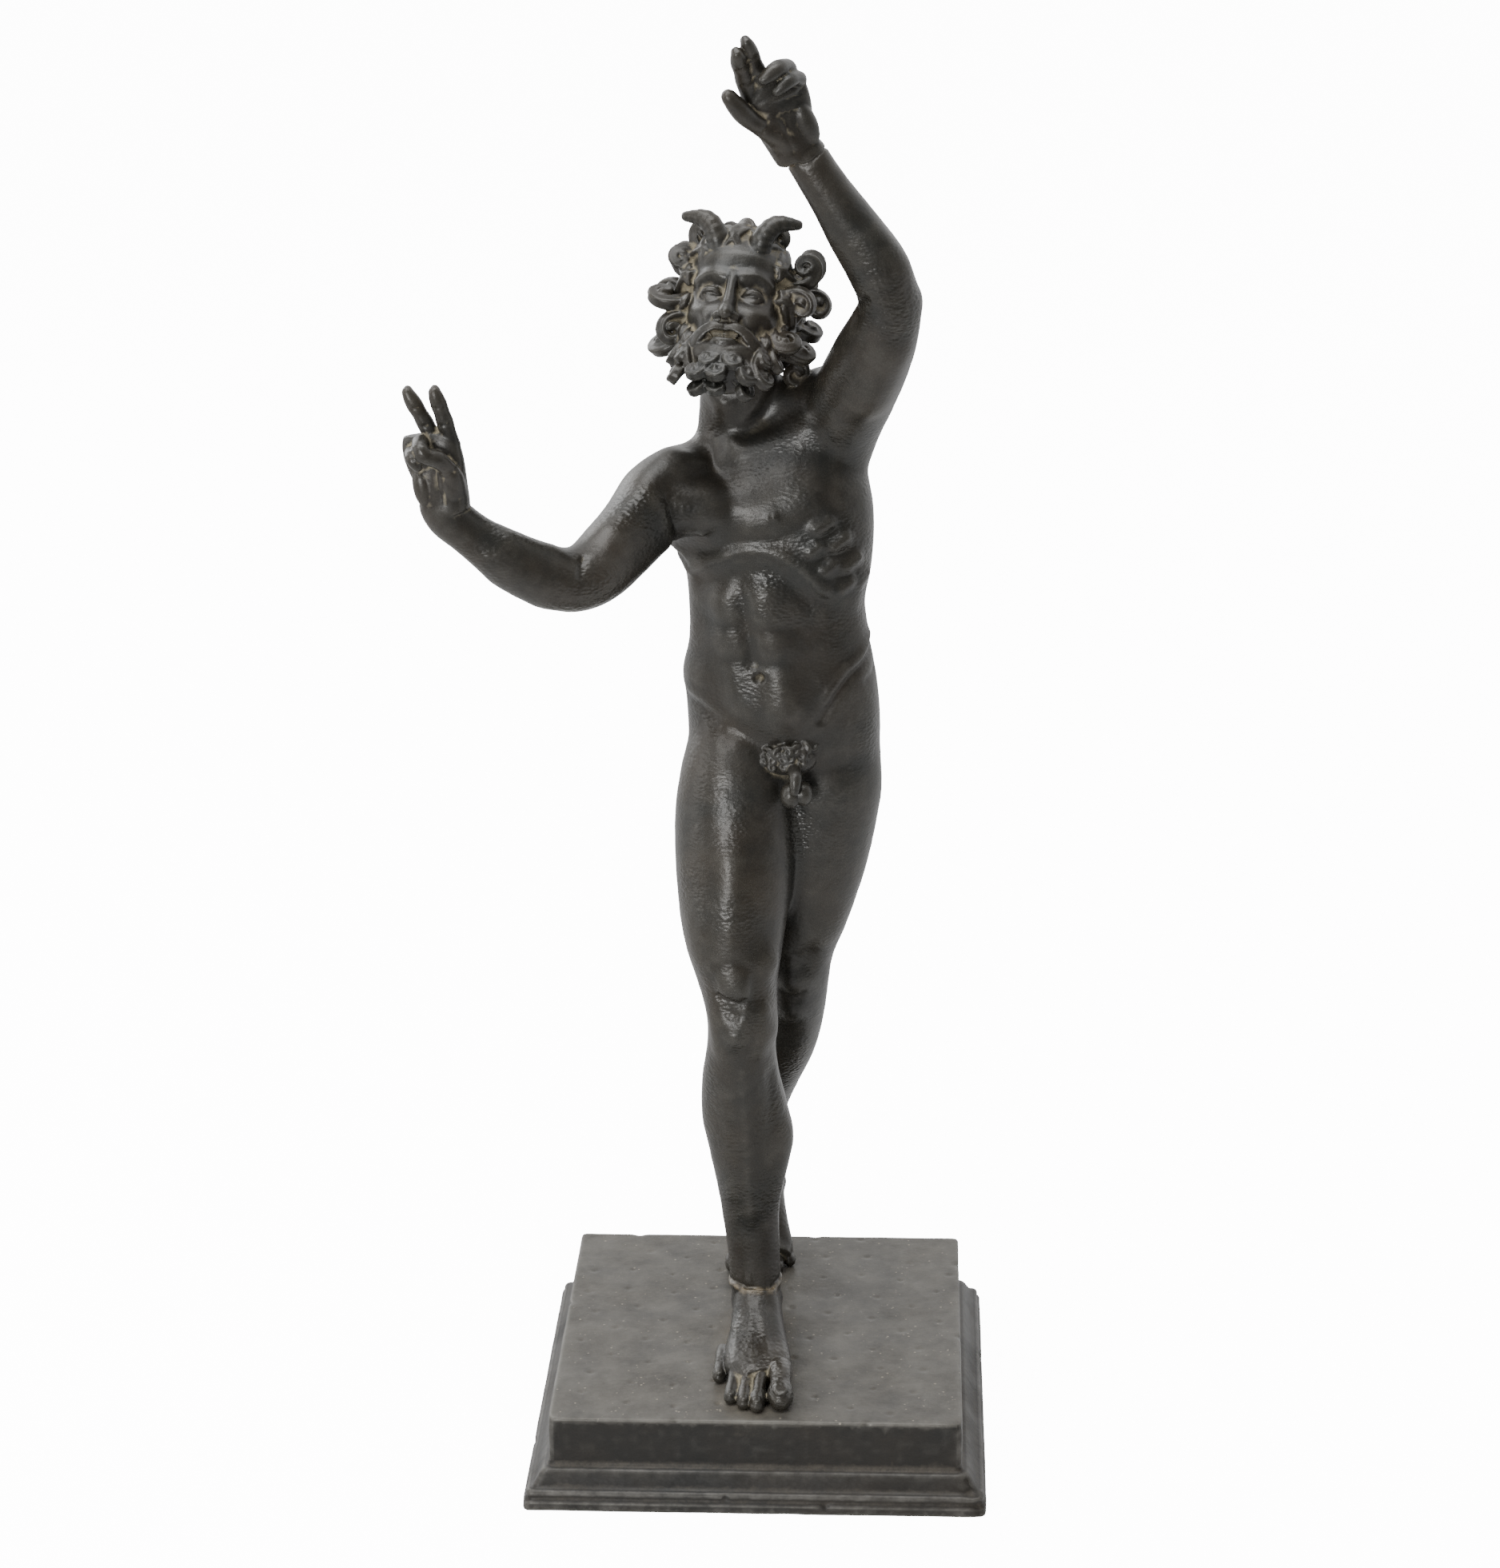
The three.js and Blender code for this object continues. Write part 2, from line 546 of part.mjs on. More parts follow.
function face() {
  const half = headHeight / 2;
  const level = { brow: half * 0.19, eye: 0, cheek: -half * 0.22, nose: -half * 0.4, mouth: -half * 0.6 };
  const eyeSpacing = 5.6;
  const strokes = [
    [[[0, -17, level.mouth - 3.6]], 3, -0.5],
    [[[0, -16, -half * 0.84]], 4, 1.2],
    [[[0, -17, level.brow + 0.6], [0, -19, level.brow + 4]], 2.4, 0.3],
  ];
  const features = [
    tube([
      [0, -15, level.brow + 1.2],
      [0, -17, level.eye - 1.4],
      [0, -19.2, level.nose + 1.6],
    ], [1.4, 1.7, 2.3]),
    tube([[-4, -14.4, level.mouth], [0, -16, level.mouth + 0.4], [4, -14.4, level.mouth]], [0.7, 1.2, 0.7]),
    tube([[-3.2, -14, level.mouth - 1.8], [0, -15.4, level.mouth - 2], [3.2, -14, level.mouth - 1.8]], [0.7, 1.3, 0.7]),
  ];
  for (const side of [-1, 1]) {
    strokes.push(
      [[[side * 10, -12, level.brow], [side * 5.4, -15.6, level.brow + 1.2], [side * 1.6, -16.4, level.brow]], 1.7, 1.3],
      [[[side * (eyeSpacing + 1.4), -14, level.eye], [side * 3.4, -15, level.eye]], 2.4, -2],
      [[[side * 8.6, -12, level.cheek], [side * 6.6, -14, level.cheek]], 3.2, 0.9],
      [[[side * 8, -13, level.mouth]], 3.4, -0.5],
    );
    features.push(
      muscle([side * eyeSpacing, -12, level.eye], [2.5, 2.3, 1.7]),
      muscle([side * 2, -16.4, level.nose + 1], [1.5, 1.9, 1.3]),
      tube([
        [side * 8.8, -12, level.mouth - 3],
        [side * 5.2, -14.8, level.mouth + 1.4],
        [side * 0.7, -16.6, level.mouth + 2.4],
      ], [1, 1.8, 1.4]),
    );
  }
  return [modelled(skull(), strokes), ...features];
}

function horns() {
  return [-1, 1].map((side) => tube([
    [side * 4.8, -9.6, 10.6],
    [side * 6, -13, 16.2],
    [side * 9.4, -14.2, 20.2],
    [side * 15, -13.4, 21],
  ], [3.5, 3.1, 2.6, 1.4]));
}

function ears() {
  return [-1, 1].map((side) => tube([
    [side * 13, -2, -3],
    [side * 15.6, -2.4, 1],
    [side * 19, -1.4, 6.4],
  ], [2.6, 2.6, 0.8]));
}

// One curled lock. It leaves its root along out, winds up tighter and tighter towards across and
// ends in a snail, which rises a little along its axis.
function lock(root, out, across, length, radius) {
  const steps = 32;
  const at = new THREE.Vector3(...root);
  const ahead = new THREE.Vector3(...out).normalize();
  const aside = new THREE.Vector3(...across);
  aside.addScaledVector(ahead, -aside.dot(ahead)).normalize();
  const axis = new THREE.Vector3().crossVectors(ahead, aside);
  if (axis.y > 0) axis.negate();
  const points = [at.toArray()];
  for (let n = 0; n < steps; n++) {
    const share = (n + 0.5) / steps;
    const heading = curl.winding * share ** 2.3 - curl.start;
    at.addScaledVector(ahead, (Math.cos(heading) * length) / steps);
    at.addScaledVector(aside, (Math.sin(heading) * length) / steps);
    at.addScaledVector(axis, (0.3 * share ** 3 * length) / steps);
    points.push(at.toArray());
  }
  return tube(points, [1.25, 1.15, 1, 0.86, 0.62].map((k) => k * radius), { sides: 8, rings: 28 });
}

// Locks spring from the hair's mass in rows, each row a fan about the line from the face
// backwards, and the last row lies against the back of the head. top is how long a lock over the
// forehead is, as a share of one at the side.
function hair() {
  const mass = { centre: [0, 4.6, 2.6], reach: [14.8, 15.6, 17] };
  const made = [muscle(mass.centre, mass.reach, [0, 0, 0], [40, 28])];
  const rows = [
    { depth: -5, count: 9, fan: 126, lean: -0.2, length: 23, top: 0.78, hold: 0.9 },
    { depth: 1.5, count: 8, fan: 118, lean: 0.2, length: 22, top: 0.72, hold: 0.9 },
    { depth: 8.5, count: 8, fan: 128, lean: 0.7, length: 20, top: 0.75, hold: 0.88 },
    { depth: 14.5, count: 6, fan: 112, lean: 1.5, length: 17, top: 0.8, hold: 0.85 },
  ];
  rows.forEach(({ depth, count, fan, lean, length, top, hold }, row) => {
    const share = Math.sqrt(1 - ((depth - mass.centre[1]) / mass.reach[1]) ** 2);
    for (let n = 0; n < count; n++) {
      const angle = THREE.MathUtils.degToRad(-fan + (2 * fan * n) / (count - 1));
      const [x, z] = [Math.sin(angle), Math.cos(angle)];
      const turn = (n + row) % 2 ? 1 : -1;
      const vary = 1 + 0.1 * Math.sin(2.4 * n + 1.7 * row);
      const grown = length * (top + (1 - top) * Math.min(1, Math.abs(angle) / 0.9));
      const swing = 0.25 + 0.65 * Math.sin(1.9 * n + 1.3 * row);
      made.push(lock(
        [x * mass.reach[0] * share * hold, depth, mass.centre[2] + z * mass.reach[2] * share * hold],
        [x, lean, z],
        [z * turn, swing, -x * turn],
        grown * vary,
        lockRadius * (0.9 + 0.1 * vary),
      ));
    }
  });
  return made;
}

function beard() {
  const made = [limb([
    station(0, -4, -6, 6, 8, 12.4, 12.4),
    station(0, -7, -13, 7.6, 9, 12, 12),
    station(0, -9, -19, 8.6, 8, 10.6, 10.6),
    station(0, -11, -23, 6.4, 5, 7.4, 7.4),
  ], { rings: 20 })];
  const rows = [
    { count: 6, height: -12.5, fan: 82, reach: 11.6, length: 13, radius: 1.35 },
    { count: 4, height: -17.5, fan: 46, reach: 11, length: 15, radius: 1.65 },
    { count: 3, height: -22, fan: 40, reach: 7.4, length: 13, radius: 1.5 },
  ];
  rows.forEach(({ count, height, fan, reach, length, radius }, row) => {
    for (let n = 0; n < count; n++) {
      const angle = THREE.MathUtils.degToRad(-fan + (2 * fan * n) / (count - 1));
      const [x, y] = [Math.sin(angle), -Math.cos(angle)];
      const turn = (n + row) % 2 ? 1 : -1;
      made.push(lock(
        [x * reach, -7 + y * reach * 0.6, height],
        [x * 0.5, y * 0.5, -1],
        [-y * turn, x * turn, 0.2],
        length,
        radius,
      ));
    }
  });
  return made;
}

function neck() {
  return [
    limb([
      station(-6, 7, 290, 9, 10, 11, 12),
      station(-6, 5.5, 298, 9.6, 10.5, 10.4, 11.4),
      station(-5.6, 3, 308, 10, 11, 10, 11),
      station(-5.2, 1.5, 318, 9.6, 11, 10.4, 11),
    ], { rings: 20 }),
    tube([[-4, 7, 302], [6, 4, 300], [18, 1, 304]], [6, 8, 8], { sides: 20 }),
    tube([[-6, 7, 300], [-12, 4, 288], [-18, 2, 282]], [5, 7, 8], { sides: 20 }),
  ];
}

// The chest where it passes into the shoulders.
function chestSides() {
  return [
    tube([[-8, -7.5, 276], [-16, -8.5, 277], [-25, -10.5, 277]], [6, 7.6, 6.4], { sides: 20 }),
    tube([[0, -7.6, 277], [9, -7.4, 281], [17, -4, 289]], [6, 6.6, 6.4], { sides: 20 }),
  ];
}

function head() {
  return placed([...face(), ...horns(), ...ears(), ...hair(), ...beard()], place.head, [-35, 3, -7]);
}

function sex() {
  return [
    muscle([7.6, -10.5, 204], [7.6, 4.6, 4.6]),
    muscle([9, -13.4, 195.2], [2.9, 3.2, 3.7]),
    muscle([12.4, -13, 195.6], [2.8, 3.2, 3.5]),
    tube([[9.8, -12.6, 202.4], [10.4, -16.4, 201.4], [10.2, -17.8, 197.6]], [1.9, 1.9, 1.3]),
  ];
}

// The whole casting, cut flat under its soles where it stands on the plinth.
async function figure() {
  const body = joined([
    torso(), ...chestSides(), rightLeg(), leftLeg(), ...rightFoot(), ...leftFoot(),
    rightArm(), leftArm(), ...rightHand(), ...leftHand(), ...neck(), ...head(), ...sex(),
  ]);
  const depth = 20;
  const ground = new THREE.BoxGeometry(slab.width, slab.width * 1.4, depth)
    .translate(0, 0, groundZ + castingGap - depth / 2);
  const casting = await simplified(body.subtract(solid(ground)), figureTriangles);
  casting.computeVertexNormals();
  return casting;
}

// One square tier of the plinth, from a profile of [half width, height] points.
function tier(profile, corner) {
  const rings = profile.map(([half, z]) => {
    const ring = [];
    for (let quarter = 0; quarter < 4; quarter++) {
      for (const step of [0, 0.5, 1]) {
        const angle = (quarter + step) * (Math.PI / 2);
        const [cx, cy] = [[1, 1], [-1, 1], [-1, -1], [1, -1]][quarter];
        ring.push(new THREE.Vector3(
          cx * (half - corner) + corner * Math.cos(angle),
          cy * (half - corner) + corner * Math.sin(angle),
          z,
        ));
      }
    }
    return ring;
  });
  return skin(rings);
}

function plinthBlock() {
  const half = slab.width / 2;
  const foot = half + base.step;
  const beadTop = base.band + base.groove + base.bead;
  const profile = [
    [foot - 0.4, 0],
    [foot, 0.4],
    [foot, base.band - 0.3],
    [foot - 0.5, base.band],
    [foot - 1.1, base.band + base.groove],
    [foot - 0.7, base.band + base.groove + base.bead * 0.5],
    [foot - 1.3, beadTop],
  ];
  const slope = 5;
  for (let n = 1; n <= slope; n++) {
    const t = n / slope;
    const ease = 0.5 - 0.5 * Math.cos(Math.PI * t);
    profile.push([
      THREE.MathUtils.lerp(foot - 1.8, half + 0.9, t),
      THREE.MathUtils.lerp(beadTop, base.height, ease),
    ]);
  }
  profile.push([half, base.height + 0.2], [half, groundZ - 0.5], [half - 0.5, groundZ]);
  return tier(profile, slabCorner);
}

const statuette = new THREE.Group();
const plinth = new THREE.Mesh(plinthBlock(), plinthBronze);
plinth.name = 'plinth';
const satyr = new THREE.Mesh(await figure(), bronze);
satyr.name = 'satyr_figure';
statuette.add(plinth, satyr);

export default statuette;
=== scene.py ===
# Bronze satyr statuette: its figure, plinth, finishes and stage. Tables are in millimetres.
import math
import bpy
import numpy as np
from mathutils import Euler, Matrix, Vector


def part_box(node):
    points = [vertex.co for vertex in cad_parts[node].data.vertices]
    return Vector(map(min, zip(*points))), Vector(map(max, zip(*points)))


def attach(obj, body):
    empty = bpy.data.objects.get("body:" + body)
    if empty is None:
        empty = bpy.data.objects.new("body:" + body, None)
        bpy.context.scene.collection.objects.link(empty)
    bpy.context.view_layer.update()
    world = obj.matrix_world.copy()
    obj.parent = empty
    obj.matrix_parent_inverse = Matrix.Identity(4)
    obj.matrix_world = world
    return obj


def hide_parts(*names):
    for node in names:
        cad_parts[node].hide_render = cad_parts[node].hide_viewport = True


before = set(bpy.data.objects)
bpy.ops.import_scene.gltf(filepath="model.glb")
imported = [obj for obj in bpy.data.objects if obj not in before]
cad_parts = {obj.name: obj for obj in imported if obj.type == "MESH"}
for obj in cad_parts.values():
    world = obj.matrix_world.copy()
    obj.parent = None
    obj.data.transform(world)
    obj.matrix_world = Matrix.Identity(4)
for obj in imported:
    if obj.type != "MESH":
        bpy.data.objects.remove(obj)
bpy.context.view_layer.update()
mm = 0.001
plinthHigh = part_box("plinth")[1]
ground = plinthHigh.z / mm


# Camera: at the photograph's height and distance, looking down.
view = {
    "spot": (40.27, -983.44, 544.56),
    "pitch": 19.62,
    "yaw": 2.503,
    "roll": -0.348,
    "lens": 86.22,
    "sensor": 36,
}


def addCamera():
    turn = (Matrix.Rotation(math.radians(view["yaw"]), 4, "Z")
            @ Matrix.Rotation(math.radians(90 - view["pitch"]), 4, "X")
            @ Matrix.Rotation(math.radians(view["roll"]), 4, "Z"))
    bpy.ops.object.camera_add(location=Vector(view["spot"]) * mm)
    camera = bpy.context.object
    camera.matrix_world = Matrix.Translation(camera.location) @ turn
    camera.data.lens = view["lens"]
    camera.data.sensor_width = view["sensor"]
    camera.data.clip_start = 0.05
    bpy.context.scene.camera = camera


addCamera()
print("camera set")


# Tools: lofts, tubes and balls of clay, then strokes on the joined skin.
def deselectAll():
    for thing in bpy.context.selected_objects:
        thing.select_set(False)


def pick(thing):
    deselectAll()
    thing.select_set(True)
    bpy.context.view_layer.objects.active = thing


def curveAt(rows, steps):
    # smooth rows between the given ones
    rows = np.array(rows, float)
    last = len(rows) - 1
    t = np.linspace(0, last, steps)
    i = np.minimum(t.astype(int), last - 1)
    f = (t - i)[:, None]
    a = rows[np.maximum(i - 1, 0)]
    b = rows[i]
    c = rows[i + 1]
    d = rows[np.minimum(i + 2, last)]
    bend = 2 * a - 5 * b + 4 * c - d
    twist = 3 * b - a - 3 * c + d
    return 0.5 * (2 * b + (c - a) * f + bend * f ** 2 + twist * f ** 3)


def unit(v):
    return v / np.maximum(np.linalg.norm(v, axis=-1, keepdims=True), 1e-12)


def unevenness(points, size, seed):
    # smooth noise from -1 to 1, in lumps of about that size
    grid = points / size
    base = np.floor(grid).astype(int)
    f = grid - base
    f = f * f * (3 - 2 * f)
    base -= base.min(0)
    table = np.random.default_rng(seed).uniform(-1, 1, base.max(0) + 2)
    total = 0
    for corner in np.ndindex(2, 2, 2):
        share = np.where(corner, f, 1 - f).prod(axis=1)
        total = total + share * table[tuple((base + corner).T)]
    return total


def fanAngle(fan, n, count):
    # the direction of one of several locks, spread evenly from -fan to fan degrees
    return math.radians(-fan + 2 * fan * n / (count - 1))


def leftOrRight(n):
    # neighbours turn opposite ways
    return 1 if n % 2 else -1


def fading(points, centre, reach, gain):
    # 1 near a place and 0 past its reach
    return np.clip(gain * (1 - np.linalg.norm(points - centre, axis=1) / reach), 0, 1)


def skinRings(name, rings):
    # one closed skin over rows of points, with a point in the middle of each end
    count, sides = rings.shape[:2]
    points = np.concatenate([rings.reshape(-1, 3), [rings[0].mean(0)], [rings[-1].mean(0)]])
    faces = []
    for r in range(count - 1):
        for s in range(sides):
            a, b = r * sides + s, r * sides + (s + 1) % sides
            faces.append((a, b, b + sides, a + sides))
    first, last = len(points) - 2, len(points) - 1
    for s in range(sides):
        after = (s + 1) % sides
        faces.append((first, after, s))
        faces.append((last, (count - 1) * sides + s, (count - 1) * sides + after))
    middle = points.mean(0)
    a, b, c = (points[[face[k] for face in faces]] - middle for k in range(3))
    if np.einsum("ij,ij->", a, np.cross(b, c)) < 0:
        faces = [face[::-1] for face in faces]
    mesh = bpy.data.meshes.new(name)
    mesh.from_pydata((points * mm).tolist(), [], faces)
    clay = bpy.data.objects.new(name, mesh)
    bpy.context.scene.collection.objects.link(clay)
    return clay


def loft(name, sections, facing=(0, -1, 0), sides=40, steps=90, boxy=1.0):
    # each section: x, y, z, then how far the skin lies to the front, back, right and left
    rows = curveAt(sections, steps)
    centres, reach = rows[:, :3], rows[:, 3:]
    along = unit(np.gradient(centres, axis=0))
    front = np.array(facing, float)
    ahead = unit(front - along * (along @ front)[:, None])
    left = np.cross(along, ahead)
    if left[0, 0] < 0:
        left = -left
    angle = (np.arange(sides) + 0.5) / sides * 2 * math.pi
    c = np.sign(np.cos(angle)) * np.abs(np.cos(angle)) ** boxy
    d = np.sign(np.sin(angle)) * np.abs(np.sin(angle)) ** boxy
    sideways = np.where(c > 0, reach[:, 3:4] * c, reach[:, 2:3] * c)
    forward = np.where(d > 0, reach[:, 0:1] * d, reach[:, 1:2] * d)
    rings = centres[:, None] + left[:, None] * sideways[..., None] + ahead[:, None] * forward[..., None]
    return skinRings(name, rings)


# how deep a bar's rings are, and the two rings that dome each end: how far out, how wide
bar = {"ridgeDepth": 0.035, "domeLift": (0.5, 0.85), "domeWidth": (0.8, 0.45)}


def tube(name, points, radii, sides=14, steps=22, strands=0, groove=0.16, ridges=0, flat=1.0):
    # a tapered bar with domed ends; strands groove it lengthwise and ridges ring it
    path = curveAt(points, steps)
    radius = curveAt(np.array(radii, float)[:, None], steps)[:, 0]
    radius *= 1 + bar["ridgeDepth"] * np.cos(np.linspace(0, ridges * 2 * math.pi, steps)) * (ridges > 0)
    along = unit(np.gradient(path, axis=0))
    normal = np.zeros_like(path)
    start = np.array([0.0, 0, 1]) if abs(along[0, 2]) < 0.9 else np.array([1.0, 0, 0])
    normal[0] = unit(start - along[0] * (start @ along[0]))
    for k in range(1, steps):
        normal[k] = unit(normal[k - 1] - along[k] * (normal[k - 1] @ along[k]))
    across = np.cross(along, normal)
    order = [0, 0, *range(steps), -1, -1]
    near, far = bar["domeLift"]
    lift = np.array([-far, -near, *[0] * steps, near, far])[:, None]
    near, far = bar["domeWidth"]
    share = np.array([far, near, *[1] * steps, near, far])
    size = radius[order] * share
    centres = path[order] + along[order] * radius[order][:, None] * lift
    angle = np.arange(sides) / sides * 2 * math.pi
    wave = 1 + groove * np.cos(strands * angle) * (strands > 0)
    rings = (centres[:, None]
             + normal[order][:, None] * (size[:, None] * wave * np.cos(angle))[..., None]
             + across[order][:, None] * (size[:, None] * wave * flat * np.sin(angle))[..., None])
    return skinRings(name, rings)


def ball(name, centre, radii, turn=(0, 0, 0), detail=(24, 16)):
    deselectAll()
    bpy.ops.mesh.primitive_uv_sphere_add(
        segments=detail[0], ring_count=detail[1], radius=1, location=Vector(centre) * mm,
        rotation=[math.radians(a) for a in turn], scale=Vector(radii) * mm)
    made = bpy.context.object
    made.name = name
    bpy.ops.object.transform_apply(location=True, rotation=True, scale=True)
    return made


def frameAt(spot, turn, size=1.0):
    euler = Euler([math.radians(a) for a in turn], "XYZ")
    return Matrix.Translation(Vector(spot)) @ euler.to_matrix().to_4x4() @ Matrix.Scale(size, 4)


def place(pieces, matrix):
    # moves pieces made in a frame of their own to their place on the figure
    inMetres = Matrix.Translation(matrix.translation * mm) @ matrix.to_3x3().to_4x4()
    for piece in pieces:
        piece.data.transform(inMetres)
    return pieces


def joinAll(name, pieces):
    deselectAll()
    for piece in pieces:
        piece.select_set(True)
    bpy.context.view_layer.objects.active = pieces[0]
    bpy.ops.object.join()
    made = bpy.context.object
    made.name = name
    return made


def applyModifier(thing, kind, **values):
    pick(thing)
    modifier = thing.modifiers.new(kind.lower(), kind)
    for key, value in values.items():
        setattr(modifier, key, value)
    bpy.ops.object.modifier_apply(modifier=modifier.name)


def remesh(thing, grain):
    applyModifier(thing, "REMESH", mode="VOXEL", voxel_size=grain * mm)


def remeshFine(thing, piece):
    remesh(thing, piece["grain"])


def thin(thing, piece):
    # a remeshed skin is all quads, so it has twice as many triangles as faces
    faces = len(thing.data.polygons) * 2
    applyModifier(thing, "DECIMATE", ratio=min(1.0, piece["triangles"] / faces))


# how a finger or tool works the clay: where a soft stroke ends, how round a sharp one is, and how
# wide the middle of a blended place is
touch = {"softReach": 2.2, "sharpness": 1.3, "blend": 1.6}


class Clay:
    # the skin's points and normals in millimetres, while it is being worked
    def __init__(self, thing):
        self.thing = thing
        mesh = thing.data
        self.co = np.empty(len(mesh.vertices) * 3)
        mesh.vertices.foreach_get("co", self.co)
        self.co = self.co.reshape(-1, 3) / mm
        edges = np.empty(len(mesh.edges) * 2, int)
        mesh.edges.foreach_get("vertices", edges)
        self.a, self.b = edges.reshape(-1, 2).T
        self.ties = np.maximum(np.bincount(edges, minlength=len(self.co)), 1)
        self.settle()

    def settle(self):
        mesh = self.thing.data
        mesh.vertices.foreach_set("co", (self.co * mm).ravel())
        mesh.update()
        normals = np.empty(len(mesh.vertices) * 3)
        mesh.vertices.foreach_get("normal", normals)
        self.no = normals.reshape(-1, 3)
        self.byHeight = np.argsort(self.co[:, 2])
        self.heights = self.co[self.byHeight, 2]

    def average(self, values):
        total = np.empty_like(values)
        for k in range(values.shape[1]):
            total[:, k] = (np.bincount(self.a, values[self.b, k], len(values))
                           + np.bincount(self.b, values[self.a, k], len(values)))
        return total / self.ties[:, None]

    def smooth(self, times, where=None):
        # each point moves up to half of the way to the middle of its neighbours
        weight = 0.5 if where is None else (0.5 * where)[:, None]
        for _ in range(times):
            self.co = self.co + (self.average(self.co) - self.co) * weight
        self.settle()

    def near(self, path, reach):
        # the points within reach of a path, and how far off they are
        path = np.array(path, float).reshape(-1, 3)
        low, high = path.min(0) - reach, path.max(0) + reach
        first, last = np.searchsorted(self.heights, (low[2], high[2]))
        band = self.byHeight[first:last]
        index = band[np.all((self.co[band] > low) & (self.co[band] < high), axis=1)]
        points = self.co[index]
        if len(path) == 1:
            return index, np.linalg.norm(points - path[0], axis=1)
        best = np.full(len(index), 1e9)
        for start, end in zip(path[:-1], path[1:]):
            run = end - start
            t = np.clip((points - start) @ run / max(run @ run, 1e-9), 0, 1)
            best = np.minimum(best, np.linalg.norm(points - start - t[:, None] * run, axis=1))
        return index, best

    def laid(self, path, gap=0.8):
        # the path laid on the skin, point by point
        path = np.array(path, float)
        length = np.linalg.norm(np.diff(path, axis=0), axis=1).sum()
        samples = curveAt(path, max(int(length / gap), 2)) if len(path) > 1 else path
        index, _ = self.near(samples, 6)
        if not len(index):
            return samples
        points = self.co[index]
        return np.array([points[((points - sample) ** 2).sum(1).argmin()] for sample in samples])

    def stroke(self, path, radius, height, sharp=False):
        # a round stroke pushes clay along the normals; a sharp one has a crisp edge
        index, distance = self.near(path, radius * (1 if sharp else touch["softReach"]))
        share = distance / radius
        weight = np.clip(1 - share, 0, 1) ** touch["sharpness"] if sharp else np.exp(-share ** 2)
        self.co[index] += self.no[index] * (height * weight)[:, None]

    def work(self, strokes, every, onSkin=True):
        # one stroke after another, with fresh normals after every few
        for n, (path, radius, height) in enumerate(strokes):
            self.stroke(self.laid(path) if onSkin else path, radius, height)
            if (n + 1) % every == 0:
                self.settle()

    def score(self, strokes, place, gap):
        # strokes on the skin that are given in the frame of a hand or the head
        for path, radius, height in strokes:
            path = np.array([place @ Vector(point) for point in path])
            self.stroke(self.laid(path, gap), radius, height)

    def shareNear(self, spots, gain):
        # 1 along each (path, reach) and 0 past its reach
        where = np.zeros(len(self.co))
        for path, reach in spots:
            index, distance = self.near(path, reach)
            where[index] = np.maximum(where[index], np.clip(gain * (1 - distance / reach), 0, 1))
        return where

    def blendNear(self, spots, times):
        # smooths only round each (centre, reach)
        self.smooth(times, where=self.shareNear(spots, touch["blend"]))

    def hollowness(self, times):
        # how far the smoothed skin stands proud of the true one, in millimetres
        smoothed = self.co
        for _ in range(times):
            smoothed = smoothed + (self.average(smoothed) - smoothed) * 0.5
        return np.einsum("ij,ij->i", smoothed - self.co, self.no)

    def keep(self, name, values):
        layer = self.thing.data.attributes.new(name, "FLOAT", "POINT")
        layer.data.foreach_set("value", np.asarray(values, np.float32))


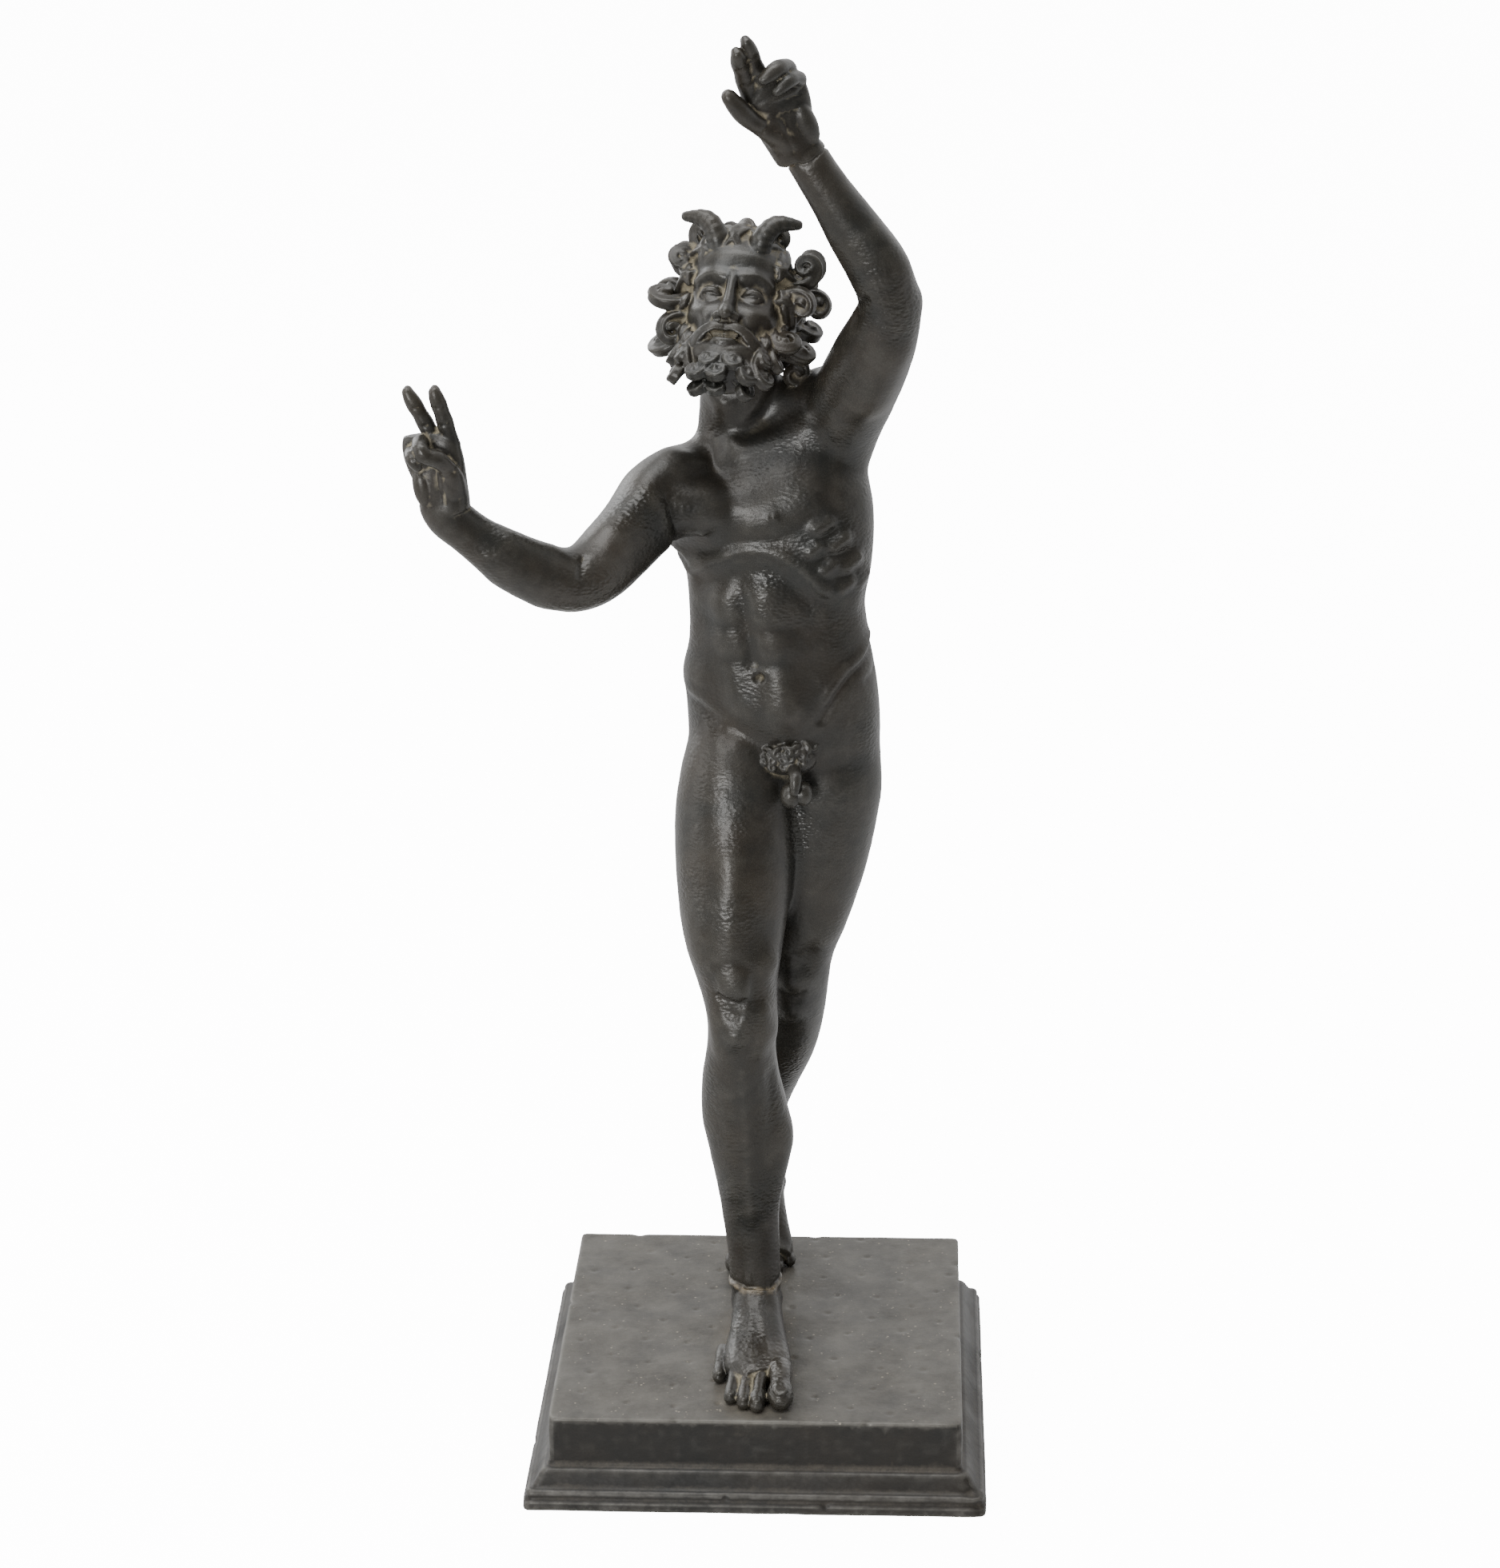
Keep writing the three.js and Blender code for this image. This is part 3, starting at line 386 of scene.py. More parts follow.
# Body: sections of the trunk and limbs.
body = {
    "grain": 1.0,
    "trunk": [
        (6.8, 12, 184, 4, 9, 14, 14),
        (6.6, 10, 191, 9, 15, 21, 21),
        (6.6, 8, 198, 14, 17.5, 24.6, 24.6),
        (6.8, 7, 206, 16, 18.4, 26.8, 26.8),
        (6.6, 6, 215, 17, 16.5, 27.2, 26.8),
        (6.4, 4.5, 224, 17, 14, 26.6, 26),
        (5.4, 3, 236, 16.4, 12.8, 24.8, 24.4),
        (4.8, 2, 248, 16.4, 13, 24.2, 24.4),
        (4.8, 2, 260, 17.2, 14.5, 26, 26.6),
        (3.4, 2.5, 272, 17.2, 16, 29.6, 28),
        (0.5, 3.5, 282, 15.5, 16, 26.6, 27.4),
        (-3, 5, 290, 10.5, 13.5, 17.5, 22),
        (-5, 6.5, 298, 8, 10.5, 10, 12),
    ],
    "rightLeg": [
        (-7.5, 3.5, 212, 12, 13, 10, 14),
        (-7.4, 2, 200, 16.5, 17, 14.6, 17),
        (-6.8, -1.5, 184, 17, 16.5, 17, 17),
        (-6.7, -5.5, 168, 16.5, 15, 16.6, 16),
        (-6.7, -9, 153, 14.8, 13, 14.6, 14),
        (-5.7, -12, 140, 12.2, 11, 11.4, 11.2),
        (-4.7, -13.5, 131, 11.4, 10.5, 10.2, 10),
        (-5, -13, 121, 10.2, 11, 9.8, 9.8),
        (-4.6, -11.5, 110, 9.6, 13.4, 11.9, 10.2),
        (-3.9, -10, 98, 9, 14.2, 12.9, 12.2),
        (-3.4, -9.4, 90, 8.7, 13.6, 12, 13.2),
        (-3.1, -9, 81, 8.3, 11.6, 10.6, 11.2),
        (-3, -8.5, 69, 7.8, 8.8, 8.6, 8.7),
        (-2.2, -8, 55, 7.4, 7.6, 7.6, 7.7),
        (-1.7, -8, 45, 7.8, 8.2, 7.5, 7.6),
        (-1.6, -7.5, 36, 8.2, 8.6, 6.6, 6.8),
        (-1.6, -7, 31, 8, 8, 6, 6),
    ],
    "leftLeg": [
        (16.5, 7, 214, 12, 13, 13, 13),
        (18.5, 8, 198, 16.5, 17.5, 16, 15.8),
        (17.2, 9.5, 184, 16.8, 16.5, 16, 15.8),
        (14.6, 11, 169, 16, 15, 15.4, 15.4),
        (12, 12.5, 154, 14, 13, 13.6, 13.6),
        (9.4, 13.5, 141, 12, 11.4, 11.6, 11.6),
        (8.8, 15, 131, 11.2, 11, 10.4, 10.4),
        (7.6, 20, 119, 10.4, 11.4, 10.3, 10.4),
        (4.4, 27, 106, 9.4, 13.6, 11.6, 11.2),
        (0.2, 36, 91, 8.4, 13, 11, 10.4),
        (-2.2, 46, 76, 7.4, 9.6, 8.6, 8.4),
        (-3, 54, 63, 7, 7.8, 7.4, 7.4),
        (-3.2, 58.5, 54, 7, 6.5, 7.2, 7.2),
    ],
    "rightArm": [
        (-12, 3, 281, 8, 9, 9, 9),
        (-20, 0, 281, 10.5, 10.5, 9.5, 10.5),
        (-26.6, -6, 277.6, 10.8, 10.8, 10.2, 10.4),
        (-32.2, -15, 271.8, 10.2, 10, 9.8, 10),
        (-37.6, -25, 267.4, 9.8, 9.6, 9.6, 9.6),
        (-42.6, -34, 264.8, 8.9, 9.6, 9, 9),
        (-48.4, -39.5, 264.2, 8, 9.4, 8.6, 8.6),
        (-56.5, -43.5, 267.6, 7.6, 7.8, 7.8, 7.8),
        (-65, -47, 273, 6.7, 6.8, 7, 7),
        (-73, -49.5, 279.6, 5.6, 5.8, 6.2, 6),
        (-78.4, -51.5, 285, 5.2, 5.4, 6.4, 6.2),
        (-80.4, -52, 290, 5, 5, 6.4, 6.2),
    ],
    "leftArm": [
        (12, 4, 278, 9, 9, 9, 9),
        (18, 3, 288, 11.5, 12, 11, 12),
        (22.3, -1, 298, 11.5, 11.5, 11.3, 11.3),
        (26.6, -8, 308, 11.2, 11.2, 11.2, 11),
        (31, -16, 319, 10.6, 10.8, 10.8, 10.4),
        (34.4, -23, 329, 9.2, 10, 9.4, 9),
        (35, -26.5, 337, 8.4, 9.2, 8, 8.2),
        (31.6, -28.5, 346, 8.4, 8.4, 8, 8.2),
        (26.2, -30.5, 355, 7.4, 7.4, 7.4, 7.4),
        (20, -32.5, 365, 6, 6.2, 6.2, 6.2),
        (15.4, -33.6, 372.5, 5.3, 5.4, 6, 5.8),
        (12.6, -34.2, 377.5, 5, 5, 6, 5.8),
    ],
    "neck": [
        (-6, 7, 290, 9, 10, 11, 12),
        (-6, 5.5, 298, 9.6, 10.5, 10.4, 11.4),
        (-5.6, 3, 308, 10, 11, 10, 11),
        (-5.2, 1.5, 318, 9.6, 11, 10.4, 11),
    ],
    "trapezius": [
        ([(-4, 7, 302), (6, 4, 300), (18, 1, 304)], [6, 8, 8]),
        ([(-6, 7, 300), (-12, 4, 288), (-18, 2, 282)], [5, 7, 8]),
    ],
    "chest": [
        ([(-3, -5.4, 275), (-14, -7.8, 276.4), (-25, -10.5, 277)], [5, 7.2, 6.4]),
        ([(-2, -6, 276), (9, -7.4, 281), (17, -4, 289)], [5.4, 6.6, 6.4]),
        ([(-7, -4.4, 289), (4, -4.6, 291.6), (16, -5, 297)], [4, 5, 6]),
    ],
    # where two limbs meet and the clay is smoothed: place, reach
    "joins": [
        ((-22, 0, 281), 16), ((16, 2, 290), 17), ((-5, 4, 296), 14), ((6.6, -6, 203), 12),
        ((-20, 2, 205), 16), ((33, 6, 205), 16), ((6.6, 18, 190), 16), ((-5, 20, 188), 14),
        ((20, 22, 186), 14), ((-19, -4, 287), 9), ((14, -8, 288), 10),
        ((-7, -13, 278), 12), ((3, -13, 280), 10), ((5, -8, 297), 12),
    ],
}

# Muscles: path, radius, height. A height below zero is a hollow.
muscles = [
    # chest
    ([(-20, -10, 275), (-12, -13, 276)], 9.5, 2),
    ([(0, -15, 275), (8, -15, 277), (15, -12, 282)], 10, 1.5),
    ([(-8.4, -10, 284), (-7, -14, 274), (-5.4, -16, 267)], 3.6, -0.5),
    ([(-22, -8, 263.5), (-12, -13, 264), (-7, -15, 266.5)], 2.2, -0.9),
    ([(-3, -16, 267.6), (6, -16, 268.4), (13, -14, 273)], 2.2, -0.8),
    # arch of the ribs
    ([(-19, -6, 258), (-11, -12, 262), (-3, -16, 264.6), (5, -16.5, 264), (12, -16, 260), (18, -14, 254.5)],
     2.4, 1.25),
    ([(-15, -9, 254), (-8, -14, 257.5), (0, -16, 259.6), (8, -16, 257.6), (14, -14, 251)], 3.4, -1.2),
    ([(26, -8, 249), (22, -12, 252), (18, -14, 254.5)], 2.6, 0.7),
    # belly
    ([(-10.5, -12, 250), (-8.5, -12, 236), (-5.5, -12, 220)], 4.2, 1.2),
    ([(1.5, -14, 252), (4, -14, 238), (7.5, -13, 220)], 4.4, 1.3),
    ([(-5.4, -15, 258), (-3, -14, 244), (-0.6, -13, 232)], 2, -1.3),
    ([(-14, -10, 243), (-7, -14, 243), (6, -14.5, 243), (12, -13, 243)], 1.8, -0.6),
    ([(-13, -10, 233), (-6, -13, 233), (7, -14, 233), (13, -12, 233)], 1.8, -0.5),
    ([(3.6, -13, 218)], 9, 2),
    ([(-18.6, -4, 226.5), (-20, 6, 226.5)], 6, 1.6),
    ([(27, -3, 238), (28.4, 8, 238)], 7, 0.7),
    ([(14, -12, 243)], 5, -0.8),
    ([(-15, -8, 243)], 5, -0.6),
    # back
    ([(-5, 23, 203)], 10, 4.4),
    ([(18, 24, 201)], 10, 4.4),
    ([(6.6, 26, 216), (6.6, 28, 190)], 3.2, -5),
    ([(0, 20, 287), (4.6, 16, 256), (6, 20, 222)], 3.4, -2.4),
    ([(-4.4, 19, 274), (-1, 16, 250), (1, 17, 230)], 3.6, 1.4),
    ([(8, 20, 276), (10, 16, 250), (11, 17, 230)], 3.6, 1.4),
    ([(-13, 18, 283), (-8, 19, 268)], 6, 2.2),
    ([(17, 18, 286), (13, 19, 270)], 6, 2.2),
    ([(-5, 20, 264), (-18, 15, 268)], 2.2, -1.2),
    ([(10, 20, 265), (24, 15, 270)], 2.2, -1.2),
    ([(0, 17, 221)], 2.4, -1.4),
    ([(12, 17, 221)], 2.4, -1.4),
    ([(-17, 14, 197)], 6, -1.4),
    ([(31, 14, 196)], 6, -1.4),
    # right leg
    ([(-8.6, -25.5, 142.5), (-4.4, -25.5, 142.5)], 5.4, 2),
    ([(-7, -25, 134.4)], 2.8, -1.6),
    ([(-6.4, -24, 126.5)], 3, 1.1),
    ([(3.4, -20, 148)], 5, 2.4),
    ([(2.4, -22, 134), (1, -22, 122)], 2.6, 0.9),
    ([(-12, -20, 132), (-10.6, -20, 122)], 2.6, 0.9),
    ([(-13.5, -18, 150), (-13, -16, 162)], 6, 1.6),
    ([(-7, -22, 150), (-7.4, -21, 178)], 4.4, 1.1),
    ([(-9.5, -23, 137), (-10, -21, 144)], 2.4, -1.1),
    ([(0, -24, 137), (-1, -22.5, 146)], 2, -1),
    ([(3.6, -18, 127)], 4, 1.1),
    ([(-4.4, -19, 112), (-2.8, -16, 70)], 2.4, 1),
    ([(-8, -18, 108), (-7, -15, 76)], 3, 0.7),
    ([(-8, -2, 127), (1, -2, 127)], 4, -1.6),
    ([(-9.5, 3, 100)], 6, 1.6),
    ([(3.4, 2, 90)], 5.4, 1.8),
    ([(3.2, -17.4, 113), (3.4, -16.4, 100), (3.2, -13.4, 86)], 1.9, -0.8),
    ([(-3.6, 5, 96), (-3.2, 4, 82)], 2.4, -1.2),
    ([(-7.6, 0, 66), (-7, 0, 44)], 3, -1.2),
    ([(3.6, 0, 66), (3.4, 0, 44)], 3, -1.2),
    # left leg
    ([(9.2, 3.5, 133)], 4.8, 1.7),
    ([(8.8, 6.8, 121)], 3, 1.2),
    ([(2, 5, 142)], 5, 2.2),
    ([(17, 5, 150), (17.6, 5, 160)], 6, 1.6),
    ([(13, 2, 137), (14, 2, 142)], 2.2, -0.9),
    ([(4.6, 1, 137), (4, 1.4, 144)], 2.2, -0.9),
    ([(8, 30, 128)], 4.4, -1.6),
    ([(-4, 44, 97)], 5.5, 1.6),
    ([(5.5, 45, 95)], 5.5, 1.6),
    ([(0.6, 47, 94), (-1.4, 53, 80)], 2.2, -1.1),
    ([(-6.6, 60, 66), (-6.6, 62, 58)], 2.6, -0.9),
    ([(1, 60, 66), (0.6, 62, 58)], 2.6, -0.9),
    # arms
    ([(-22, -8, 288), (-28, -12, 283)], 6.5, 2),
    ([(-31, -20, 280), (-38, -31, 275)], 5, 1.8),
    ([(-26, 2, 268), (-38, -16, 259)], 5, 1.5),
    ([(-28, -16, 279), (-23, -16, 284)], 2.4, -0.9),
    ([(-51, -33, 257)], 3, 1.4),
    ([(-45, -42, 274), (-42, -38, 276)], 2.2, -1.4),
    ([(-52, -45, 276), (-62, -50, 279)], 4, 1.3),
    ([(-56, -44, 260), (-66, -47, 267)], 4, 0.9),
    ([(21, 3, 313), (30, -3, 322)], 5, 1.6),
    ([(31, -20, 306), (36, -28, 320)], 5, 1.6),
    ([(24, -14, 303), (29, -22, 314)], 2.4, -0.8),
    ([(42, -24, 336)], 3.4, 0.8),
    ([(26.5, -26, 332)], 2.4, -1.4),
    ([(38, -32, 346), (32, -36, 356)], 4, 1.2),
    ([(27, -24, 346), (22, -26, 356)], 4, 0.9),
    # neck and collarbones
    ([(-14.5, 0, 316), (-10, -5, 302), (-8.8, -6, 294)], 2.4, 1),
    ([(5, 0, 316), (-2, -5, 302), (-6.6, -6, 294)], 2.4, 1),
    ([(-8, -7, 290)], 2.6, -0.8),
    ([(-11, -7, 288), (-17, -7, 288), (-24, -7, 289)], 2.6, 0.5),
    ([(-4, -7, 289), (3, -8, 293), (12, -8, 301)], 2.8, 0.3),
    ([(-4, -7, 296), (3, -6, 298)], 3, -0.3),
    ([(-14, -5, 294), (-18, -4, 292)], 3, -0.5),
]


def buildBody():
    made = [
        loft("trunk", body["trunk"], (-0.12, -1, 0), sides=64, steps=110, boxy=0.86),
        loft("rightLeg", body["rightLeg"], (-0.05, -1, 0), steps=160),
        loft("leftLeg", body["leftLeg"], (0.15, -1, 0), steps=150),
        loft("rightArm", body["rightArm"], (-0.35, -0.85, 0.35)),
        loft("leftArm", body["leftArm"], (-0.2, -0.95, -0.1)),
        loft("neck", body["neck"], steps=30),
    ]
    made += [tube("muscle", path, radii, sides=24) for path, radii in body["trapezius"] + body["chest"]]
    made = joinAll("satyr", made)
    remesh(made, body["grain"])
    clay = Clay(made)
    clay.smooth(8)
    clay.blendNear(body["joins"], times=26)
    clay.work(muscles, every=12, onSkin=False)
    clay.smooth(3)
    print("body shaped", len(made.data.vertices))
    return made


# Feet: sections as for the limbs, with z from the plinth's top. Each toe: its tip, its root, its radius.
feet = {
    "right": [
        (-1.4, 5.5, 6, 5, 6, 5.6, 5.6),
        (-1.4, 0, 7.5, 9, 9, 7, 7),
        (-1.2, -9, 8, 14, 9, 7, 7.2),
        (-0.8, -18, 6.4, 9.8, 8, 7.6, 8),
        (-0.4, -27, 4.8, 6.4, 6, 9.2, 9.2),
        (0.4, -35, 4.2, 4.8, 5, 9.2, 9.4),
        (2, -40, 3.6, 3.4, 4, 6, 7.4),
    ],
    "left": [
        (-3.2, 65.8, 26, 4, 4, 4.6, 4.6),
        (-3.2, 61, 25, 9, 6, 7, 7),
        (-3, 54, 18, 8.6, 6.6, 7.4, 7.4),
        (-2.6, 47, 10, 7, 5.6, 8.6, 8.6),
        (-2.2, 41, 5, 5, 5.5, 9.6, 9.8),
        (-2, 36, 3.6, 3.4, 4, 8.8, 9),
    ],
    "knuckle": 2.5,
    # along a toe from its root: how far, and how much of the knuckle's rise
    "toeArch": [(0, 0.9), (0.4, 1), (0.7, 0.35), (1, 0)],
    "toeSwelling": [1, 0.95, 0.86, 1.05, 1],
    "nailTilt": (14, 0, 0),
    "rightToes": [
        ((7, -54), (6.6, -37), 3.5),
        ((0.4, -54.6), (1.4, -35), 2.1),
        ((-3.4, -53), (-2.6, -33), 2),
        ((-7.2, -50), (-6, -31), 1.95),
        ((-11, -38), (-10.4, -24), 1.95),
    ],
    "leftToes": [
        ((-9.6, 29.5), (-8, 41), 3.1),
        ((-3.8, 27.6), (-3.6, 40), 2.1),
        ((-0.2, 28.4), (-0.6, 40), 1.95),
        ((3.4, 31), (2.6, 42), 1.85),
        ((6.8, 35.6), (5.4, 46), 1.8),
    ],
}


def buildFoot(side):
    sections = [(x, y, z + ground, *reach) for x, y, z, *reach in feet[side]]
    facing = (0, 0, 1) if side == "right" else (0, -0.75, 0.66)
    made = [loft(side + "Foot", sections, facing, steps=60, boxy=0.8)]
    for (x, y), (rootX, rootY), radius in feet[side + "Toes"]:
        path = []
        for share, rise in feet["toeArch"]:
            path.append((rootX + (x - rootX) * share, rootY + (y + radius - rootY) * share,
                         ground + radius * 0.85 + rise * feet["knuckle"]))
        made.append(tube("toe", path, [radius * k for k in feet["toeSwelling"]], sides=20, steps=30))
        nail = (x, y + radius * 0.9, ground + radius * 1.78)
        made.append(ball("nail", nail, (radius * 0.62, radius * 0.75, 0.5), turn=feet["nailTilt"]))
    return made


# Hands in a frame of their own: fingers up, palm towards -Y, thumb on +X where side is 1.
hands = {
    "fingerRadius": 2,
    "littleFinger": 0.86,
    "reach": [14.8, 15.4],
    "bones": [0.44, 0.32, 0.24],
    "knuckle": (5.4, 0.4, 14),
    "knuckleGap": 3.5,
    "curledBend": 170,
    "thumbRadii": [2.9, 2.7, 2.1, 2.3, 1.8],
    "swelling": [1.08, 0.98, 1.06, 0.94, 1, 0.9, 0.72],
    "palm": [
        (0.7, 0, -2, 4.6, 4.8, 5, 5),
        (0.7, 0, 4, 4.2, 4.4, 6, 6),
        (0.2, 0, 10, 3.4, 3.8, 7.2, 7.2),
        (0, 0, 15, 2.8, 3.4, 7.2, 7.2),
        (0, 0.4, 18, 2.2, 2.4, 6.2, 6.2),
    ],
    "pads": [
        ((3.4, -2.6, 6), (2.8, 2.4, 5.6)),
        ((-3.6, -2.2, 5), (2.6, 2.4, 5.6)),
        ((0, -1.8, 13.6), (6, 1.6, 2)),
    ],
    "creases": [
        [(6.6, -4.6, 9), (3, -4.4, 10.8), (-3, -4.4, 10)],
        [(3, -5, 13.4), (-3, -4.6, 12.6), (-7, -3.6, 12.2)],
        [(6.8, -4, 10), (2.6, -5.2, 7), (1.6, -5.4, 1)],
    ],
    "right": {
        "side": 1,
        "frame": frameAt((-78.6, -52, 288.5), (8, -10, -12), 1.06),
        "fingers": [(-2, 3), (-15, 2)],
        "curled": [
            [(-1.4, 0, 12.3), (-1.2, -2.6, 16.7), (0.2, -7, 17), (1.5, -7.8, 14.4)],
            [(-4, -0.4, 11.5), (-3.9, -3, 14.6), (-2.5, -7.2, 15), (-1.4, -7.8, 12.6)],
        ],
        "thumb": [(3.4, -0.8, 2), (4.6, -3, 8), (3.4, -5.6, 13), (0.4, -7.8, 15.4)],
    },
    "left": {
        "side": -1,
        "frame": frameAt((11.6, -34.2, 377.4), (14, -24, 12), 1.14),
        "fingers": [(-3, 9), (-1, 6)],
        "curled": [
            [(-2.4, 1.4, 13), (-4.6, -0.4, 18), (-2.2, -4.2, 21), (1.6, -5.4, 20.8)],
            [(-4.4, 1.2, 11.4), (-6, -1, 15), (-3.4, -4.8, 17.6), (0, -5.8, 17)],
        ],
        "thumb": [(0.2, -1.4, 1), (4.4, -2.8, 7), (8, -3.4, 13.4), (10, -3.6, 20)],
    },
}


def fingerPath(hand, n):
    # the index and middle finger are stretched, the other two curled; paths are for a right hand
    if n >= 2:
        points = [(x * hand["side"], y, z) for x, y, z in hand["curled"][n - 2]]
        return points, math.radians(hands["curledBend"])
    side = hand["side"]
    spread, curl = (math.radians(a) for a in hand["fingers"][n])
    x, y, z = hands["knuckle"]
    points = [(side * (x - hands["knuckleGap"] * n), y, z)]
    for k, share in enumerate(hands["bones"]):
        x, y, z = points[-1]
        bend = curl * (k + 1)
        step = hands["reach"][n] * share
        points.append((x + math.sin(spread) * side * step * math.cos(bend),
                       y - math.sin(bend) * step, z + math.cos(bend) * step))
    return points, curl * 3


def buildHand(which):
    hand = hands[which]
    side = hand["side"]
    palm = [(x * side, *rest) for x, *rest in hands["palm"]]
    made = [loft("palm", palm, sides=30, steps=40, boxy=0.8)]
    made += [ball("pad", (x * side, y, z), radii) for (x, y, z), radii in hands["pads"]]
    for n in range(4):
        points, bend = fingerPath(hand, n)
        radius = hands["fingerRadius"] * (hands["littleFinger"] if n == 3 else 1)
        made.append(tube("finger", points, [k * radius for k in hands["swelling"]], sides=20, steps=34))
        x, y, z = points[-1]
        back = radius * 0.55
        if n < 2:
            made.append(ball("nail", (x, y + back * math.cos(bend), z + back * math.sin(bend) - 0.2),
                             (radius * 0.62, 0.6, radius * 0.8), turn=(math.degrees(bend), 0, 0)))
    thumb = [(x * side, y, z) for x, y, z in hand["thumb"]]
    made.append(tube("thumb", thumb, hands["thumbRadii"], sides=20, steps=30))
    return place(made, hand["frame"])


# Head in a frame of its own: face towards -Y, up +Z. The face is a plain one on drawing-book
# proportions: eyes halfway up, then the nose and the mouth.
head = {
    "height": 42,
    "frame": frameAt((-5.2, -4, 327.4), (-35, 3, -7)),
    "eye": {"x": 5.5, "y": -11, "radius": 3},
    "mass": {"centre": (0, 4.6, 2.6), "reach": (14.8, 15.6, 17)},
    "rows": [
        {"depth": -5, "count": 9, "fan": 126, "lean": -0.2, "length": 23, "top": 0.78, "root": 0.9},
        {"depth": 1.5, "count": 8, "fan": 118, "lean": 0.2, "length": 22, "top": 0.72, "root": 0.9},
        {"depth": 8.5, "count": 8, "fan": 128, "lean": 0.7, "length": 20, "top": 0.75, "root": 0.88},
        {"depth": 14.5, "count": 6, "fan": 112, "lean": 1.5, "length": 17, "top": 0.8, "root": 0.85},
    ],
    "lock": {"radius": 1.7, "winding": 2.35 * math.pi, "start": 0.7, "steps": 40, "rise": 0.3,
             "taper": (1.25, 1.15, 1.0, 0.86, 0.62)},
    "tufts": 13,
    "tuftFan": 104,
    # each tuft from its root to its tip: how far out, and how deep
    "tuftSweep": [(0.6, -14.4), (0.74, -13.6), (0.9, -10.8), (1.01, -6.4), (1.03, -1)],
    "crownStrands": 34,
    "whiskers": 6,
    "moustacheStrands": 3,
    "horn": [(4.8, -9.6, 10.6), (6, -13, 16.2), (9.4, -14.2, 20.2), (15, -13.4, 21)],
    "ear": [(13, -2, -3), (15.6, -2.4, 1), (19, -1.4, 6.4)],
    "beard": [
        {"count": 6, "height": -12.5, "dip": 3.4, "fan": 82, "reach": 11.6, "length": 13, "radius": 1.35},
        {"count": 5, "height": -17.5, "dip": 0.4, "fan": 58, "reach": 11, "length": 15, "radius": 1.65},
        {"count": 3, "height": -22, "dip": 0, "fan": 40, "reach": 7.4, "length": 13, "radius": 1.5},
    ],
}
half = head["height"] / 2
level = {"brow": half * 0.19, "cheek": -half * 0.22, "nose": -half * 0.4, "mouth": -half * 0.6}


def onEyeball(side, x, z, lift):
    # a point over the eyeball, that far off its surface
    eye = head["eye"]
    radius = eye["radius"] + lift
    dx = x - eye["x"]
    return (side * x, eye["y"] - math.sqrt(max(radius ** 2 - dx ** 2 - z ** 2, 0.01)), z)


def buildSkull():
    skull = loft("skull", [
        (0, -10.6, -half * 0.96, 2, 4, 4, 4),
        (0, -8.6, -half * 0.82, 9, 8, 8.6, 8.6),
        (0, -6, -half * 0.6, 11.2, 12, 11, 11),
        (0, -3, -half * 0.3, 13.4, 15, 12.6, 12.6),
        (0, -1, 0, 14.6, 18, 13.6, 13.6),
        (0, 1, half * 0.34, 17, 19, 14.4, 14.4),
        (0, 2, half * 0.66, 15.4, 17.6, 13.4, 13.4),
        (0, 3, half * 0.9, 9.6, 11, 9, 9),
        (0, 3, half, 3, 3, 3, 3),
    ], sides=220, steps=170, boxy=0.92)
    clay = Clay(skull)
    strokes = [
        ([(0, -16, level["brow"] + 1)], 2.4, -0.35),
        ([(-5, -15, 9.5), (5, -15, 9.5)], 4.6, 0.2),
        ([(0, -17, level["mouth"] - 3.8)], 2.6, -0.7),
        ([(0, -16, level["mouth"] + 2.2)], 1, -0.4),
    ]
    for side in (-1, 1):
        eye = head["eye"]["x"]
        strokes += [
            ([(side * (eye + 1.2), -14, 0.2), (side * (eye - 2.2), -15, 0)], 2.7, -2.1),
            ([(side * 2.6, -15, 0.6)], 1.6, -0.9),
            ([(side * 10.4, -12, level["brow"] - 0.6), (side * 6.6, -15, level["brow"] + 0.9),
              (side * 2.2, -16, level["brow"] + 0.5)], 1.7, 1.25),
            ([(side * 9.4, -11.5, level["cheek"] - 0.6), (side * 7, -14, level["cheek"] - 1.2)], 3, 1.2),
            ([(side * 9.4, -11.5, level["mouth"] + 3)], 3.2, -0.9),
            ([(side * 12.4, -7, 5)], 3.6, -1.1),
            ([(side * 4, -16, level["nose"] + 0.6), (side * 6.4, -14.6, level["mouth"] + 1.2)],
             1.1, -0.6),
        ]
    clay.work(strokes, every=1)
    return skull


